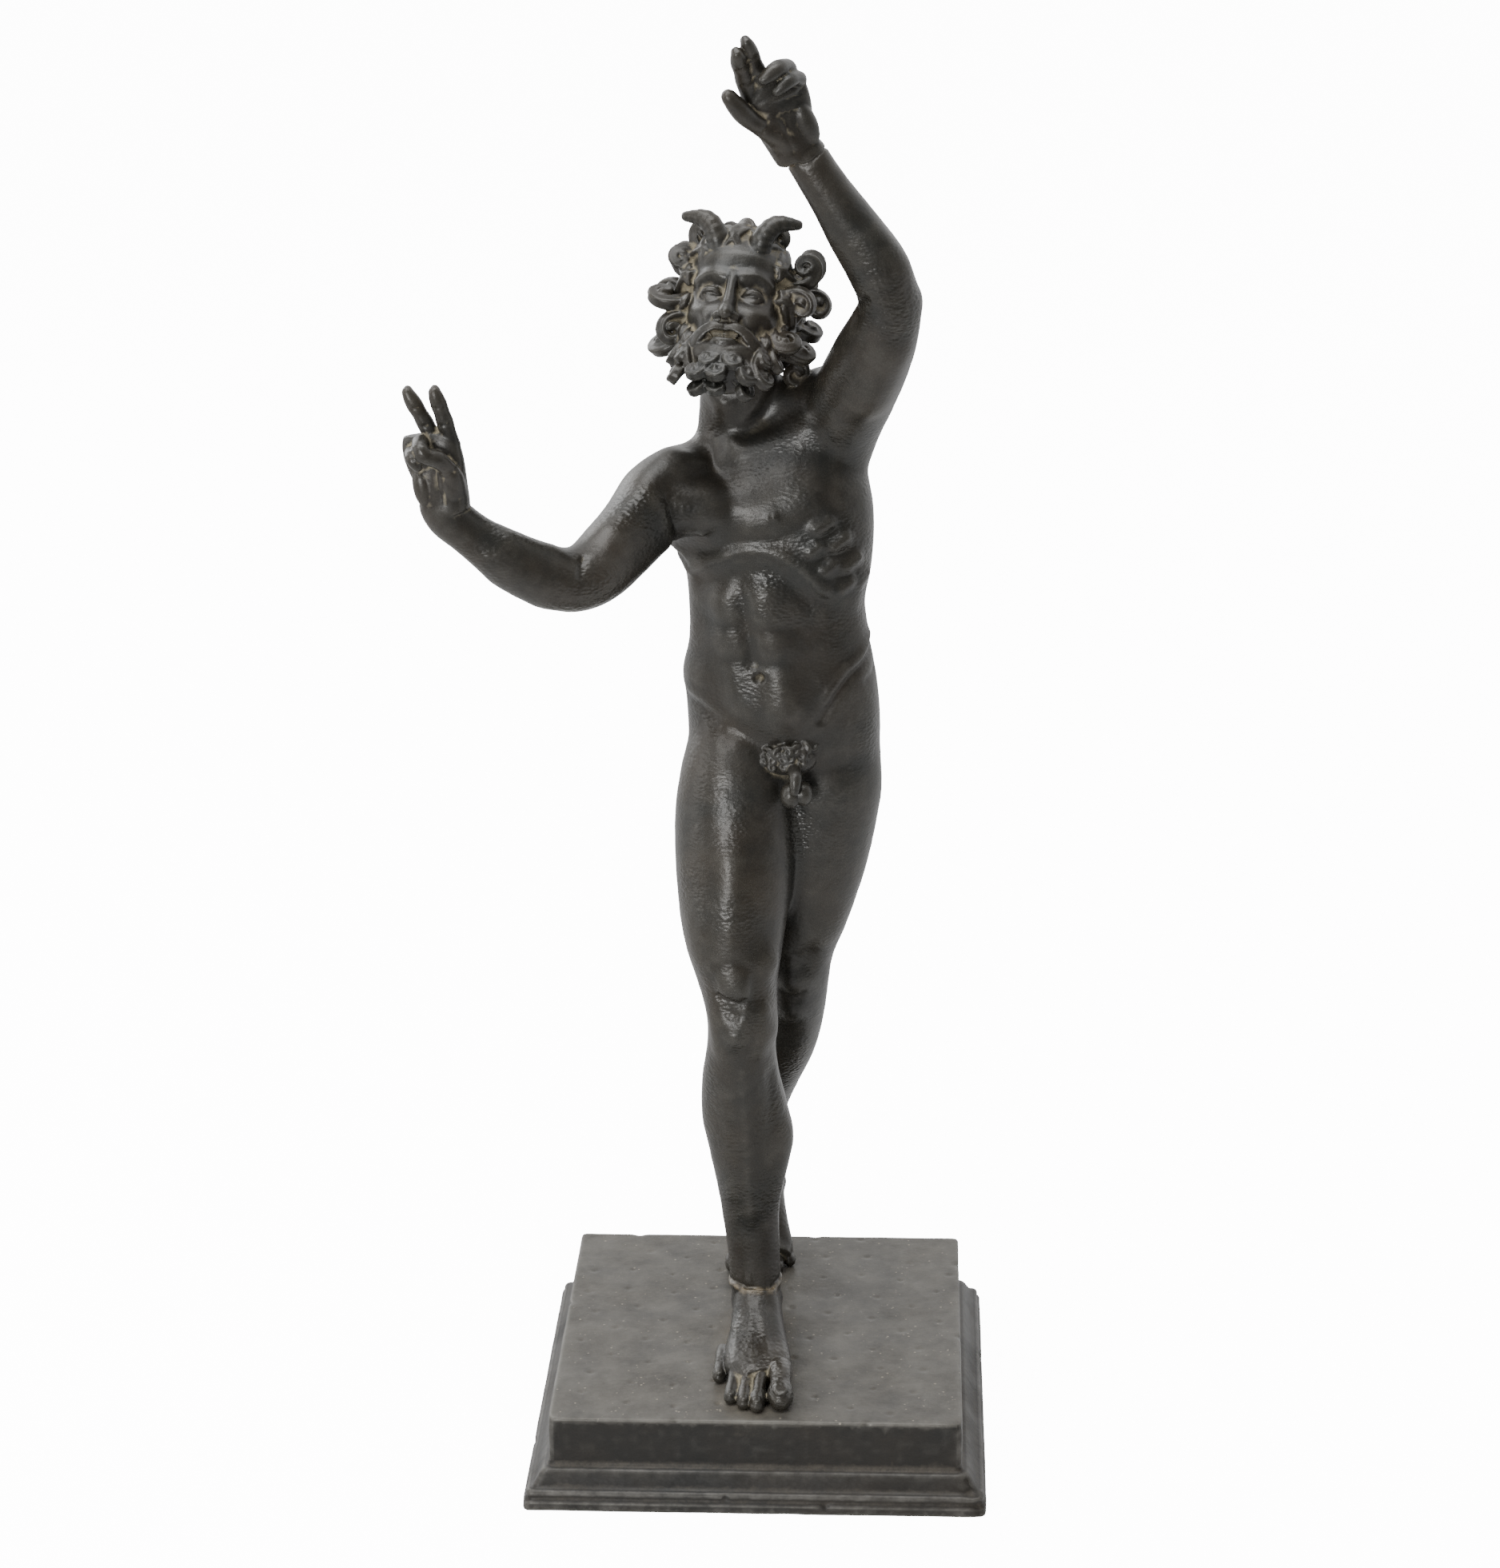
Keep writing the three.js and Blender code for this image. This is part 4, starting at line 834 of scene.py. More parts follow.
def buildFeatures():
    made = [
        loft("nose", [
            (0, -14.4, level["brow"] + 2.2, 1.2, 2, 2.2, 2.2),
            (0, -14.6, level["brow"] - 1, 2.1, 2, 1.5, 1.5),
            (0, -15, -1, 2.7, 2, 1.55, 1.55),
            (0, -15.5, level["nose"] + 3.6, 3.6, 2, 2, 2),
            (0, -16, level["nose"] + 1.4, 4.3, 2, 2.5, 2.5),
            (0, -15.8, level["nose"] - 0.2, 3.4, 2, 2.1, 2.1),
        ], sides=40, steps=50),
        ball("noseTip", (0, -18.7, level["nose"] + 1.2), (1.9, 1.9, 1.7)),
        tube("lowerLip", [(-4.4, -13.8, level["mouth"] - 0.6), (-2, -16, level["mouth"] - 1.5),
                          (2, -16, level["mouth"] - 1.5), (4.4, -13.8, level["mouth"] - 0.6)],
             [0.6, 1.4, 1.4, 0.6], steps=30),
        tube("upperLip", [(-4.6, -14, level["mouth"] + 0.5), (-1.6, -16.6, level["mouth"] + 1.5),
                          (0, -16.6, level["mouth"] + 1.2), (1.6, -16.6, level["mouth"] + 1.5),
                          (4.6, -14, level["mouth"] + 0.5)], [0.5, 0.8, 0.7, 0.8, 0.5], steps=30),
    ]
    eye = head["eye"]
    for side in (-1, 1):
        made += [
            ball("eyeball", (side * eye["x"], eye["y"], 0), (eye["radius"],) * 3, detail=(40, 30)),
            ball("noseWing", (side * 2.5, -16.4, level["nose"] + 0.9), (1.25, 1.9, 1.35)),
            tube("upperLid", [onEyeball(side, x, z, 0.25) for x, z in
                              ((2.8, -0.7), (3.9, 0.4), (5.5, 0.85), (7.2, 0.4), (8.3, -0.6))],
                 [0.4, 0.72, 0.8, 0.7, 0.42], steps=30),
            tube("lowerLid", [onEyeball(side, x, z, 0.1) for x, z in
                              ((2.8, -0.7), (4, -1.45), (5.5, -1.8), (7.1, -1.45), (8.3, -0.6))],
                 [0.4, 0.5, 0.55, 0.5, 0.4], steps=30),
        ]
        # moustache: strands that part under the nose and run out and down over the beard
        for n in range(head["moustacheStrands"]):
            drop = n * 0.95
            made.append(tube("moustache", [
                (side * 0.7, -17.2, level["nose"] - 1.5 - drop * 0.3),
                (side * 3.4, -16.8, level["nose"] - 1.7 - drop * 0.7),
                (side * 6.6, -15, level["mouth"] + 0.9 - drop * 0.9),
                (side * (9 - n * 0.4), -13, level["mouth"] - 1 - drop * 1.2),
                (side * (10.8 - n * 0.8), -11.6, level["mouth"] - 2.2 - drop),
            ], [0.6, 0.95, 1.1, 0.95, 0.6], sides=16, steps=40, strands=5, groove=0.14))
    return made


def lockPath(root, out, across, length):
    # leaves along out, sways, winds up tighter and tighter towards across and ends in a snail,
    # which rises a little along its axis
    lock = head["lock"]
    steps = lock["steps"]
    at = np.array(root, float)
    ahead = unit(np.array(out, float))
    aside = np.array(across, float)
    aside = unit(aside - ahead * (aside @ ahead))
    axis = np.cross(ahead, aside)
    if axis[1] > 0:
        axis = -axis
    points = [at.copy()]
    for n in range(steps):
        share = (n + 0.5) / steps
        heading = lock["winding"] * share ** 2.3 - lock["start"]
        step = ahead * math.cos(heading) + aside * math.sin(heading) + axis * lock["rise"] * share ** 3
        at = at + step * length / steps
        points.append(at.copy())
    return points


def addLock(made, root, out, across, length, radius):
    path = lockPath(root, out, across, length)
    radii = [k * radius for k in head["lock"]["taper"]]
    made.append(tube("lock", path, radii, sides=24, steps=60, strands=4, groove=0.18))


def buildHair():
    mass = head["mass"]
    reach = mass["reach"]
    made = [ball("hairMass", mass["centre"], reach, detail=(64, 40))]
    for row, band in enumerate(head["rows"]):
        share = math.sqrt(1 - ((band["depth"] - mass["centre"][1]) / reach[1]) ** 2)
        for n in range(band["count"]):
            angle = fanAngle(band["fan"], n, band["count"])
            x, z = math.sin(angle), math.cos(angle)
            turn = leftOrRight(n + row)
            root = (x * reach[0] * share * band["root"], band["depth"],
                    mass["centre"][2] + z * reach[2] * share * band["root"])
            vary = 1 + 0.1 * math.sin(2.4 * n + 1.7 * row)
            length = band["length"] * (band["top"] + (1 - band["top"]) * min(1, abs(angle) / 0.9))
            swing = 0.25 + 0.65 * math.sin(1.9 * n + 1.3 * row)
            addLock(made, root, (x, band["lean"], z), (z * turn, swing, -x * turn),
                    length * vary, head["lock"]["radius"] * (0.9 + 0.1 * vary))
    # tufts that sweep back from the forehead and temples
    for n in range(head["tufts"]):
        angle = fanAngle(head["tuftFan"], n, head["tufts"])
        sway = 0.16 if n % 2 else -0.1
        path = []
        for k, (out, depth) in enumerate(head["tuftSweep"]):
            a = angle + sway * math.sin(k * 1.5)
            path.append(((0.55 + 0.45 * out) * 15 * math.sin(a), depth + 5 * math.sin(a) ** 2,
                         3 + out * 17.6 * math.cos(a)))
        made.append(tube("tuft", path, [0.8, 1.8, 2.1, 1.9, 1.2],
                         sides=20, steps=34, strands=4, groove=0.22))
    # strands that run from the crown down to the curls
    for n in range(head["crownStrands"]):
        angle = 2 * math.pi * n / head["crownStrands"]
        sway = 0.18 if n % 2 else -0.14
        path = []
        for k in range(7):
            fall = 0.3 + 0.24 * k
            a = angle + sway * math.sin(k * 1.25)
            path.append((reach[0] * math.sin(fall) * math.sin(a) * 1.02,
                         mass["centre"][1] + reach[1] * math.sin(fall) * math.cos(a) * 1.02,
                         mass["centre"][2] + reach[2] * math.cos(fall) * 1.02))
        made.append(tube("strand", path, [1, 1.5, 1.7, 1.5], sides=16, steps=34, strands=3, groove=0.22))
    return made


def buildBeard():
    made = [loft("jaw", [
        (0, -4, -6, 6, 8, 12.4, 12.4),
        (0, -7, -13, 7.6, 9, 12, 12),
        (0, -9, -19, 8.6, 8, 10.6, 10.6),
        (0, -11, -23, 6.4, 5, 7.4, 7.4),
    ], steps=40)]
    for row, band in enumerate(head["beard"]):
        for n in range(band["count"]):
            angle = fanAngle(band["fan"], n, band["count"])
            x, y = math.sin(angle), -math.cos(angle)
            turn = leftOrRight(n + row)
            height = band["height"] - band["dip"] * y ** 4
            addLock(made, (x * band["reach"], -7 + y * band["reach"] * 0.6, height),
                    (x * 0.5, y * 0.5, -1), (-y * turn, x * turn, 0.2), band["length"], band["radius"])
    # whiskers from the cheeks down into the beard
    for side in (-1, 1):
        for n in range(head["whiskers"]):
            x, y = 13.2 - n * 0.75, -4 - n * 1.55
            top = -3.5 - n * 1.5
            sway = 0.8 if n % 2 else -0.6
            made.append(tube("whisker", [
                (side * x, y, top), (side * (x + 0.5), y - 0.8 + sway, top - 3),
                (side * x, y - 1 - sway, top - 6.4), (side * (x - 1), y - 1.6, top - 10),
            ], [0.7, 1.3, 1.5, 1.1], sides=16, steps=30, strands=4, groove=0.16))
    return made


def buildHornsAndEars():
    made = []
    for side in (-1, 1):
        horn = [(side * x, y, z) for x, y, z in head["horn"]]
        ear = [(side * x, y, z) for x, y, z in head["ear"]]
        made.append(tube("horn", horn, [3.5, 3.1, 2.6, 1.4], sides=24, steps=80, ridges=9))
        made.append(tube("ear", ear, [2.6, 2.8, 0.8], sides=24, steps=30, flat=0.7))
    return made


def buildHead():
    made = [buildSkull()] + buildFeatures() + buildHornsAndEars() + buildHair() + buildBeard()
    return place(made, head["frame"])


def buildSex():
    made = [
        ball("pubis", (7.8, -8.8, 204.4), (8.4, 4, 4.8)),
        ball("scrotum", (9, -13.4, 195.2), (2.9, 3.2, 3.7)),
        ball("scrotum", (12.4, -13, 195.6), (2.8, 3.2, 3.5)),
        tube("penis", [(9.8, -12.6, 202.4), (10.4, -16.4, 201.4), (10.2, -17.8, 197.6)], [1.9, 1.9, 1.3]),
    ]
    # curls in three rows that narrow downwards
    for row, count in enumerate((7, 6, 4)):
        for n in range(count):
            x = 8 + (n - (count - 1) / 2) * 2.5
            z = 207.4 - 1.9 * row + 0.16 * (x - 8)
            y = -11.6 - 0.2 * row + 0.04 * (x - 8) ** 2
            turn = leftOrRight(n + row)
            made.append(tube("curl", [
                (x - 1.3 * turn, y + 0.6, z + 0.9), (x, y - 0.6, z + 1.2), (x + 1.2 * turn, y - 1, z + 0.1),
                (x + 0.3 * turn, y - 1.2, z - 1), (x - 0.6 * turn, y - 1.4, z - 0.1),
            ], [0.75, 0.8, 0.75, 0.65, 0.5], sides=10, steps=18))
    return made


figure = {
    "grain": 0.33,
    "quickGrain": 0.5,
    "triangles": 194000,
    "blends": [
        ((-79, -52, 288), 9), ((12, -34, 377), 9), ((-1.6, -8, 36), 12), ((-3.2, 58, 52), 12),
        ((-5, 0, 312), 9),
    ],
    "ankle": {"centre": (-1.7, -8, 45.2), "radius": 8.4},
    "wrist": {"centre": (14.2, -33.9, 374.8), "axis": (-0.45, -0.12, 0.88), "radius": 6.4},
    # lumps left by the casting: height, size, seed
    "lumps": [(0.08, 7, 3), (0.05, 2.4, 4)],
    # hollows that hold dust: they start to count at one depth, and count in full that much deeper
    "hollows": {
        "fine": {"rounds": 5, "start": 0, "depth": 0.16, "share": 0.45},
        "broad": {"rounds": 40, "start": 0.15, "depth": 1.1, "share": 0.75},
    },
    "wearDepth": 0.1,
    "places": {"head": (-5.2, 0, 330), "rightHand": (-80, -54, 302), "leftHand": (6, -40, 392)},
}


def ankleRing():
    # the ring where the foot was joined again, a little wavy
    x, y, z = figure["ankle"]["centre"]
    radius = figure["ankle"]["radius"]
    points = []
    for n in range(37):
        a = 2 * math.pi * n / 36
        points.append((x + radius * math.cos(a), y + radius * math.sin(a),
                       z + 0.45 * math.sin(3 * a + 1) + 0.25 * math.sin(7 * a)))
    return np.array(points)


def wristRing():
    ring = figure["wrist"]
    axis = unit(np.array(ring["axis"]))
    u = unit(np.cross(axis, (0, 1, 0)))
    v = np.cross(axis, u)
    a = np.linspace(0, 2 * math.pi, 33)[:, None]
    wave = axis * 0.3 * np.sin(3 * a)
    return np.array(ring["centre"]) + ring["radius"] * (u * np.cos(a) + v * np.sin(a)) + wave


# Crisp carving on the joined skin: path, radius, height.
carving = [
    # nipples and navel
    ([(-14.5, -13, 271.5)], 2.4, 0.35), ([(-14.5, -13, 271.5)], 0.9, 0.7),
    ([(4.8, -17, 275)], 2.4, 0.35), ([(4.8, -17, 275)], 0.9, 0.7),
    ([(-0.2, -15, 229.2)], 1.3, -1.5), ([(-1, -15, 230.8), (0.8, -15, 230.8)], 1, 0.5),
    # lower edge of the arch of the ribs
    ([(-17, -8, 255), (-10, -13, 260.4), (-3, -16, 263.6), (5, -16.5, 262.8), (12, -15.6, 258),
      (18, -13, 251.5)], 1.5, -0.4),
    # side ribs under the raised arm
    ([(16, -15, 271.6), (18.6, -13, 273.4)], 2, 1.25),
    ([(14.6, -15.6, 265.6), (16.6, -15, 267)], 1.9, 1),
    ([(20.4, -12.4, 266.6), (22.8, -11, 268.6)], 2, 1.35),
    ([(18.4, -14, 259.8), (20.2, -13, 261.4)], 1.9, 1.1),
    ([(24, -10.6, 260.6), (25.8, -9, 262.6)], 2, 1.2),
    ([(22.6, -12, 254.2), (24.6, -10.4, 255.8)], 1.8, 0.9),
    ([(27, -7, 254.6), (28, -4, 256.6)], 1.8, 0.6),
    ([(17.4, -14.6, 268.6), (20.8, -12.6, 270.4)], 1.2, -0.5),
    ([(17.6, -14.4, 263), (23, -11, 264.6)], 1.2, -0.5),
    ([(21.4, -12.4, 257.4), (26, -8.6, 258.8)], 1.2, -0.4),
    # the same ribs on the other side
    ([(-20, -5, 262), (-23, 0, 264.5)], 1.4, 0.5), ([(-20, -5, 256.5), (-23, 0, 259)], 1.4, 0.5),
    ([(-19.5, -6, 259), (-22.5, -1, 261.5)], 1, -0.4),
    # groin: the fold, and the edge of the flank over it
    ([(-20.5, 1, 219.6), (-16.5, -5, 217.6), (-11.5, -9.5, 213), (-8.6, -11, 210)], 1.7, -0.45),
    ([(-20, 0, 222), (-15.6, -6, 220), (-10.6, -10.6, 215.4)], 1.8, 0.4),
    ([(32, 2, 236), (29.6, -5, 231.6), (24.6, -10, 227.6), (20, -12, 221), (17.6, -12.6, 216)], 1.4, -0.7),
    ([(31.6, 0, 238), (28.6, -6.6, 233.8), (23.6, -11, 229.8), (18.6, -13, 222)], 1.7, 0.6),
    ([(34, 0, 228), (31, -6, 226)], 1.2, -0.4),
    # armpit and elbow folds
    ([(-22.6, -9, 263), (-24.6, -12, 268), (-25.6, -13.5, 273), (-26, -14, 277.5)], 1.5, -0.8),
    ([(17.6, -12, 280), (19.4, -12.6, 287), (20.6, -11.5, 294)], 2.4, -0.5),
    ([(-44, -42, 271), (-46.5, -43, 266)], 1, -0.6), ([(26, -30, 335), (29, -33.5, 337.5)], 1.1, -0.7),
    # knees
    ([(-11.6, -24, 148), (-6.6, -27, 150), (-2.4, -25, 148)], 1.6, -0.25),
    ([(-11.4, -24, 138.6), (-7.4, -26.4, 136.2), (-3.4, -24.6, 138)], 1.3, -1.1),
    ([(-12.6, -24, 139), (-13, -23.6, 144.6)], 1.8, -0.3),
    ([(-0.6, -25, 139), (-0.4, -24.6, 144.6)], 1.8, -0.3),
    ([(-9.6, -24, 131.5)], 1.8, 0.35), ([(-4.6, -24, 131.5)], 1.8, 0.35),
    ([(5, 1, 139.6), (9, 0, 141.4), (13, 1.4, 139)], 1.4, -0.35),
    ([(5.6, 1.6, 128.4), (9.2, 0.8, 126.4), (12.8, 2, 128.4)], 1.4, -0.4),
    # shin, ankle bones and heel cords
    ([(-4.2, -21, 116), (-3.2, -19, 96), (-2.4, -16.4, 66)], 1.5, 0.35),
    ([(-8.2, -7.6, 37)], 2.4, 0.6), ([(5.2, -7, 38.4)], 2.4, 0.6),
    ([(-10, 56, 44)], 2.4, 1), ([(4, 56, 45)], 2.4, 1),
    # cords of the instep
    ([(-1, -15, 38), (1.6, -28, 33), (3.4, -38, 31)], 1.1, 0.3),
    ([(-2, -16, 38), (-1.6, -28, 33), (-1, -38, 31.4)], 1, 0.22),
    ([(-3, -16, 37), (-5, -27, 33), (-5.6, -37, 31)], 1, 0.22),
    ([(-4, -15, 36), (-8, -26, 32), (-9.4, -34, 30)], 1, 0.18),
    # back: spine, shoulder blades and buttock folds
    ([(1, 20, 284), (4, 17, 262), (5.6, 18, 240), (6.4, 20, 222)], 1.5, -0.6),
    ([(-12, 20, 199), (-5, 24, 193), (2, 24, 191)], 1.6, -0.9),
    ([(10, 24, 189), (18, 26, 189), (27, 22, 193)], 1.6, -0.9),
    # throat
    ([(-8.6, -8, 303)], 2, 0.6), ([(-14, -5, 309), (-8, -9, 306), (-1, -6.5, 309)], 1.2, -0.4),
]


def handLines(hand):
    # creases of the palm, and both sides of two joints on each finger
    side = hand["side"]
    lines = [([(x * side, y, z) for x, y, z in crease], 0.5, -0.22) for crease in hands["creases"]]
    for n in range(4):
        points, bend = fingerPath(hand, n)
        for k in (1, 2):
            lean = bend * k / 3
            back = np.array((0, math.cos(lean), math.sin(lean)))
            for away, depth in ((-back, -0.3), (back, -0.16)):
                spot = np.array(points[k]) + away * hands["fingerRadius"]
                lines.append(([spot - (1.5, 0, 0), spot, spot + (1.5, 0, 0)], 0.5, depth))
    return lines


def faceLines():
    # between the lips, and the nostrils
    mouth = level["mouth"] + 0.1
    lines = [([(-3.8, -15.4, mouth), (0, -17, mouth), (3.8, -15.4, mouth)], 0.8, -1.2)]
    for side in (-1, 1):
        lines.append(([(side * 1.2, -18.2, level["nose"] - 0.8)], 0.7, -0.9))
    return lines


def addLumps(clay, lumps, sunk=0):
    height = sum(amount * unevenness(clay.co, size, seed) for amount, size, seed in lumps)
    clay.co += clay.no * (height - sunk)[:, None]


def carve(clay):
    clay.work(carving, every=10)
    clay.settle()
    for which in ("right", "left"):
        clay.score(handLines(hands[which]), hands[which]["frame"], 0.5)
    clay.score(faceLines(), head["frame"], 0.4)
    ring = clay.laid(ankleRing(), 1)
    clay.stroke(ring - (0, 0, 0.9), 0.9, 0.5)
    clay.settle()
    clay.stroke(ring + (0, 0, 0.5), 0.75, -1, sharp=True)
    clay.stroke(clay.laid(wristRing(), 1), 0.7, -0.5, sharp=True)
    addLumps(clay, figure["lumps"])
    clay.settle()


def regions(points):
    # where dust has stayed: hair and beard, hands, groin, feet, ankle, navel, elbow and throat
    places = figure["places"]
    spots = [
        (places["head"], 32, 2.2), (places["rightHand"], 24, 1.9), (places["leftHand"], 26, 1.1),
        ((8, -14, 201), 11, 0.8), ((-1, -46, 28), 17, 1.7), ((-3, -8, 44), 10, 0.6),
        ((-2, 36, 28), 18, 1.2), ((-0.2, -14, 229), 5, 0.7), ((-46, -42, 268), 9, 0.5),
        ((-6, -5, 296), 14, 0.4),
    ]
    amount = np.full(len(points), 0.16)
    for centre, reach, share in spots:
        amount = np.maximum(amount, share * fading(points, centre, reach, 1.7))
    # the face itself is rubbed cleaner than the hair round it
    face = np.array(head["frame"] @ Vector((0, -14, -2)))
    return amount * (1 - 0.62 * fading(points, face, 13, 2))


def crackled(points):
    # how coarse the casting's skin is: smoother on the head and hands
    amount = np.full(len(points), 1.0)
    for where, reach in (("head", 34), ("rightHand", 24), ("leftHand", 26)):
        distance = np.linalg.norm(points - figure["places"][where], axis=1)
        amount = np.minimum(amount, 0.12 + np.clip(3 * (distance / reach - 0.75), 0, 1))
    return amount


def buildFigure():
    made = buildBody()
    extras = (buildFoot("right") + buildFoot("left") + buildHand("right") + buildHand("left")
              + buildHead() + buildSex())
    made = joinAll("satyr", [made] + extras)
    remeshFine(made, figure)
    print("figure joined", len(made.data.vertices))
    clay = Clay(made)
    clay.smooth(2)
    clay.blendNear(figure["blends"], times=14)
    carve(clay)
    # flat under the soles
    clay.co[:, 2] = np.maximum(clay.co[:, 2], ground)
    clay.settle()
    thin(made, figure)
    clay = Clay(made)
    cavity, depths = 0, {}
    for size, hollow in figure["hollows"].items():
        depths[size] = clay.hollowness(hollow["rounds"])
        held = np.clip((depths[size] - hollow["start"]) / hollow["depth"], 0, 1)
        cavity = cavity + held * hollow["share"]
    clay.keep("dust", np.clip(cavity * regions(clay.co), 0, 1))
    clay.keep("wear", np.clip(-depths["fine"] / figure["wearDepth"], 0, 1))
    clay.keep("seam", clay.shareNear([(ankleRing() - (0, 0, 0.6), 1.5), (wristRing(), 1.2)], 1.5))
    clay.keep("crackle", crackled(clay.co))
    print("figure finished", len(made.data.polygons))
    return made


satyr = buildFigure()
pick(satyr)
bpy.ops.object.shade_smooth()
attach(satyr, "root")
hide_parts("satyr_figure")


# Plinth: a moulded foot and a square slab, cast in one, with worn edges.
plinth = {
    "slab": 58,
    "slabBottom": 10.8,
    "corner": 1.6,
    "grain": 0.5,
    "quickGrain": 0.9,
    "triangles": 150000,
    # dents on the edges: place, radius, depth
    "dents": [
        ((57.6, -58, 25.6), 2.4, 1), ((-58, -57.6, 25.6), 1.8, 0.7), ((-58, 12, 25.8), 1.3, 0.5),
        ((31, -58, 25.8), 1.2, 0.4), ((-22, -58, 25.8), 1, 0.35), ((58, -6, 25.8), 1.4, 0.5),
        ((58, 40, 25.8), 1.8, 0.6), ((-40, 58, 25.8), 1.5, 0.5), ((14, 58, 25.8), 1.2, 0.4),
        ((64, -64.4, 3.2), 2.6, 1.1), ((61, -61.6, 7.4), 2.2, 0.9), ((62.6, -60.6, 5), 1.8, -0.5),
        ((59.6, -60, 9.4), 1.6, 0.8), ((-65, -30, 3), 1.3, 0.5), ((-64.6, -64, 3), 1.6, 0.6),
        ((20, -65, 3), 1.2, 0.4), ((-8, -64.6, 5), 1, 0.4), ((65, 24, 3), 1.5, 0.5),
    ],
    "pits": 90,
    "pitSpread": 60,
    "pitStretch": 1.1,
    "pitDepth": 0.28,
    "goldenAngle": 2.39996,
    "lumps": [(0.07, 9, 5), (0.03, 2.4, 6)],
    # where each foot stands, from heel to toe, and how far dust spreads round it
    "soles": [([(-2, 0), (-1.4, -46)], 17), ([(-2, 34), (-3, 52)], 15)],
}


def plinthProfile():
    foot = plinthHigh.x / mm
    profile = [(foot - 0.4, 0), (foot, 0.4), (foot, 2.9), (foot - 0.5, 3.2), (foot - 1.1, 3.7),
               (foot - 0.7, 4.8), (foot - 1.3, 5.9)]
    for n in range(1, 9):
        share = n / 8
        ease = 0.5 - 0.5 * math.cos(math.pi * share)
        profile.append((foot - 1.8 + (plinth["slab"] + 2.7 - foot) * share, 5.9 + 4.9 * ease))
    profile += [(plinth["slab"], plinth["slabBottom"] + 0.2), (plinth["slab"], ground - 0.5),
                (plinth["slab"] - 0.5, ground)]
    return profile


def buildPlinth():
    profile = plinthProfile()
    deselectAll()
    bpy.ops.mesh.primitive_plane_add(size=2 * profile[0][0] * mm, location=(0, 0, 0))
    made = bpy.context.object
    made.name = "plinthBlock"
    bpy.ops.object.mode_set(mode="EDIT")
    bpy.ops.mesh.select_all(action="SELECT")
    bpy.ops.mesh.bevel(offset=plinth["corner"] * mm, segments=4, affect="VERTICES")
    for (halfBefore, low), (halfNow, high) in zip(profile[:-1], profile[1:]):
        bpy.ops.mesh.extrude_region_move(TRANSFORM_OT_translate={"value": (0, 0, (high - low) * mm)})
        bpy.ops.transform.resize(value=(halfNow / halfBefore, halfNow / halfBefore, 1))
    bpy.ops.mesh.select_all(action="SELECT")
    bpy.ops.mesh.normals_make_consistent(inside=False)
    bpy.ops.object.mode_set(mode="OBJECT")
    remeshFine(made, plinth)
    clay = Clay(made)
    clay.smooth(1)
    for spot, radius, depth in plinth["dents"]:
        clay.stroke([spot], radius, -depth)
    # small pits over the top, spread evenly by the golden angle
    for n in range(plinth["pits"]):
        turn = n * plinth["goldenAngle"]
        out = math.sqrt((n + 0.5) / plinth["pits"]) * plinth["pitSpread"]
        x = out * math.cos(turn) * plinth["pitStretch"]
        y = out * math.sin(turn) * plinth["pitStretch"]
        if max(abs(x), abs(y)) < plinth["slab"] - 2:
            clay.stroke([(x, y, ground)], 0.7 + 0.4 * math.sin(n * 1.7) ** 2, -plinth["pitDepth"])
    addLumps(clay, plinth["lumps"], sunk=0.1)
    clay.co[:, 2] = np.maximum(clay.co[:, 2], 0)
    clay.settle()
    thin(made, plinth)
    clay = Clay(made)
    fine, broad = clay.hollowness(6), clay.hollowness(30)
    clay.keep("wear", np.clip(-fine / 0.07, 0, 1))
    soles = [([(x, y, ground) for x, y in path], reach) for path, reach in plinth["soles"]]
    feetNear = clay.shareNear(soles, 1)
    settled = np.clip(broad / 3, 0, 0.14) + np.clip(fine / 0.2, 0, 0.14) + feetNear ** 1.4
    clay.keep("dust", np.clip(settled, 0, 1))
    # painted light: a mask of the top face, which the finish paints paler as if lit from above and
    # mirroring the bright tent
    clay.keep("top", np.clip(clay.co[:, 2] - ground + 1.5, 0, 1))
    clay.keep("crackle", np.ones(len(clay.co)))
    print("plinth finished", len(made.data.polygons))
    return made


block = buildPlinth()
pick(block)
bpy.ops.object.shade_smooth()
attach(block, "root")
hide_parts("plinth")


# Finishes: dark patina over bronze, with cast grain, dust in the hollows and wear on the ridges, and on the
# plinth's top a painted light that makes it paler.
def newGroup(name, inputs, outputs):
    group = bpy.data.node_groups.new(name, "ShaderNodeTree")
    for label, value in inputs.items():
        kind = "NodeSocketVector" if label == "Vector" else "NodeSocketFloat"
        socket = group.interface.new_socket(name=label, in_out="INPUT", socket_type=kind)
        if kind == "NodeSocketFloat":
            socket.default_value = value
    for label in outputs:
        group.interface.new_socket(name=label, in_out="OUTPUT", socket_type="NodeSocketFloat")
    return group, group.nodes.new("NodeGroupInput"), group.nodes.new("NodeGroupOutput")


def addNode(tree, kind, **settings):
    node = tree.nodes.new(kind)
    for key, value in settings.items():
        setattr(node, key, value)
    return node


def join(tree, *pairs):
    for start, end in pairs:
        tree.links.new(start, end)


def feed(tree, socket, value):
    # a socket takes a number, a colour or the output of another node
    if isinstance(value, (int, float)):
        socket.default_value = value
    elif isinstance(value, tuple):
        socket.default_value = (*value, 1)
    else:
        tree.links.new(value, socket)


def mathNode(tree, operation, a, b, clamp=False):
    node = addNode(tree, "ShaderNodeMath", operation=operation, use_clamp=clamp)
    feed(tree, node.inputs[0], a)
    feed(tree, node.inputs[1], b)
    return node.outputs[0]


def multiply(tree, a, b, clamp=False):
    return mathNode(tree, "MULTIPLY", a, b, clamp)


def add(tree, a, b, clamp=False):
    return mathNode(tree, "ADD", a, b, clamp)


def spread(tree, value, low, high):
    # the part of a value between low and high, stretched to 0..1
    node = addNode(tree, "ShaderNodeMapRange")
    tree.links.new(value, node.inputs["Value"])
    node.inputs["From Min"].default_value = low
    node.inputs["From Max"].default_value = high
    return node.outputs["Result"]


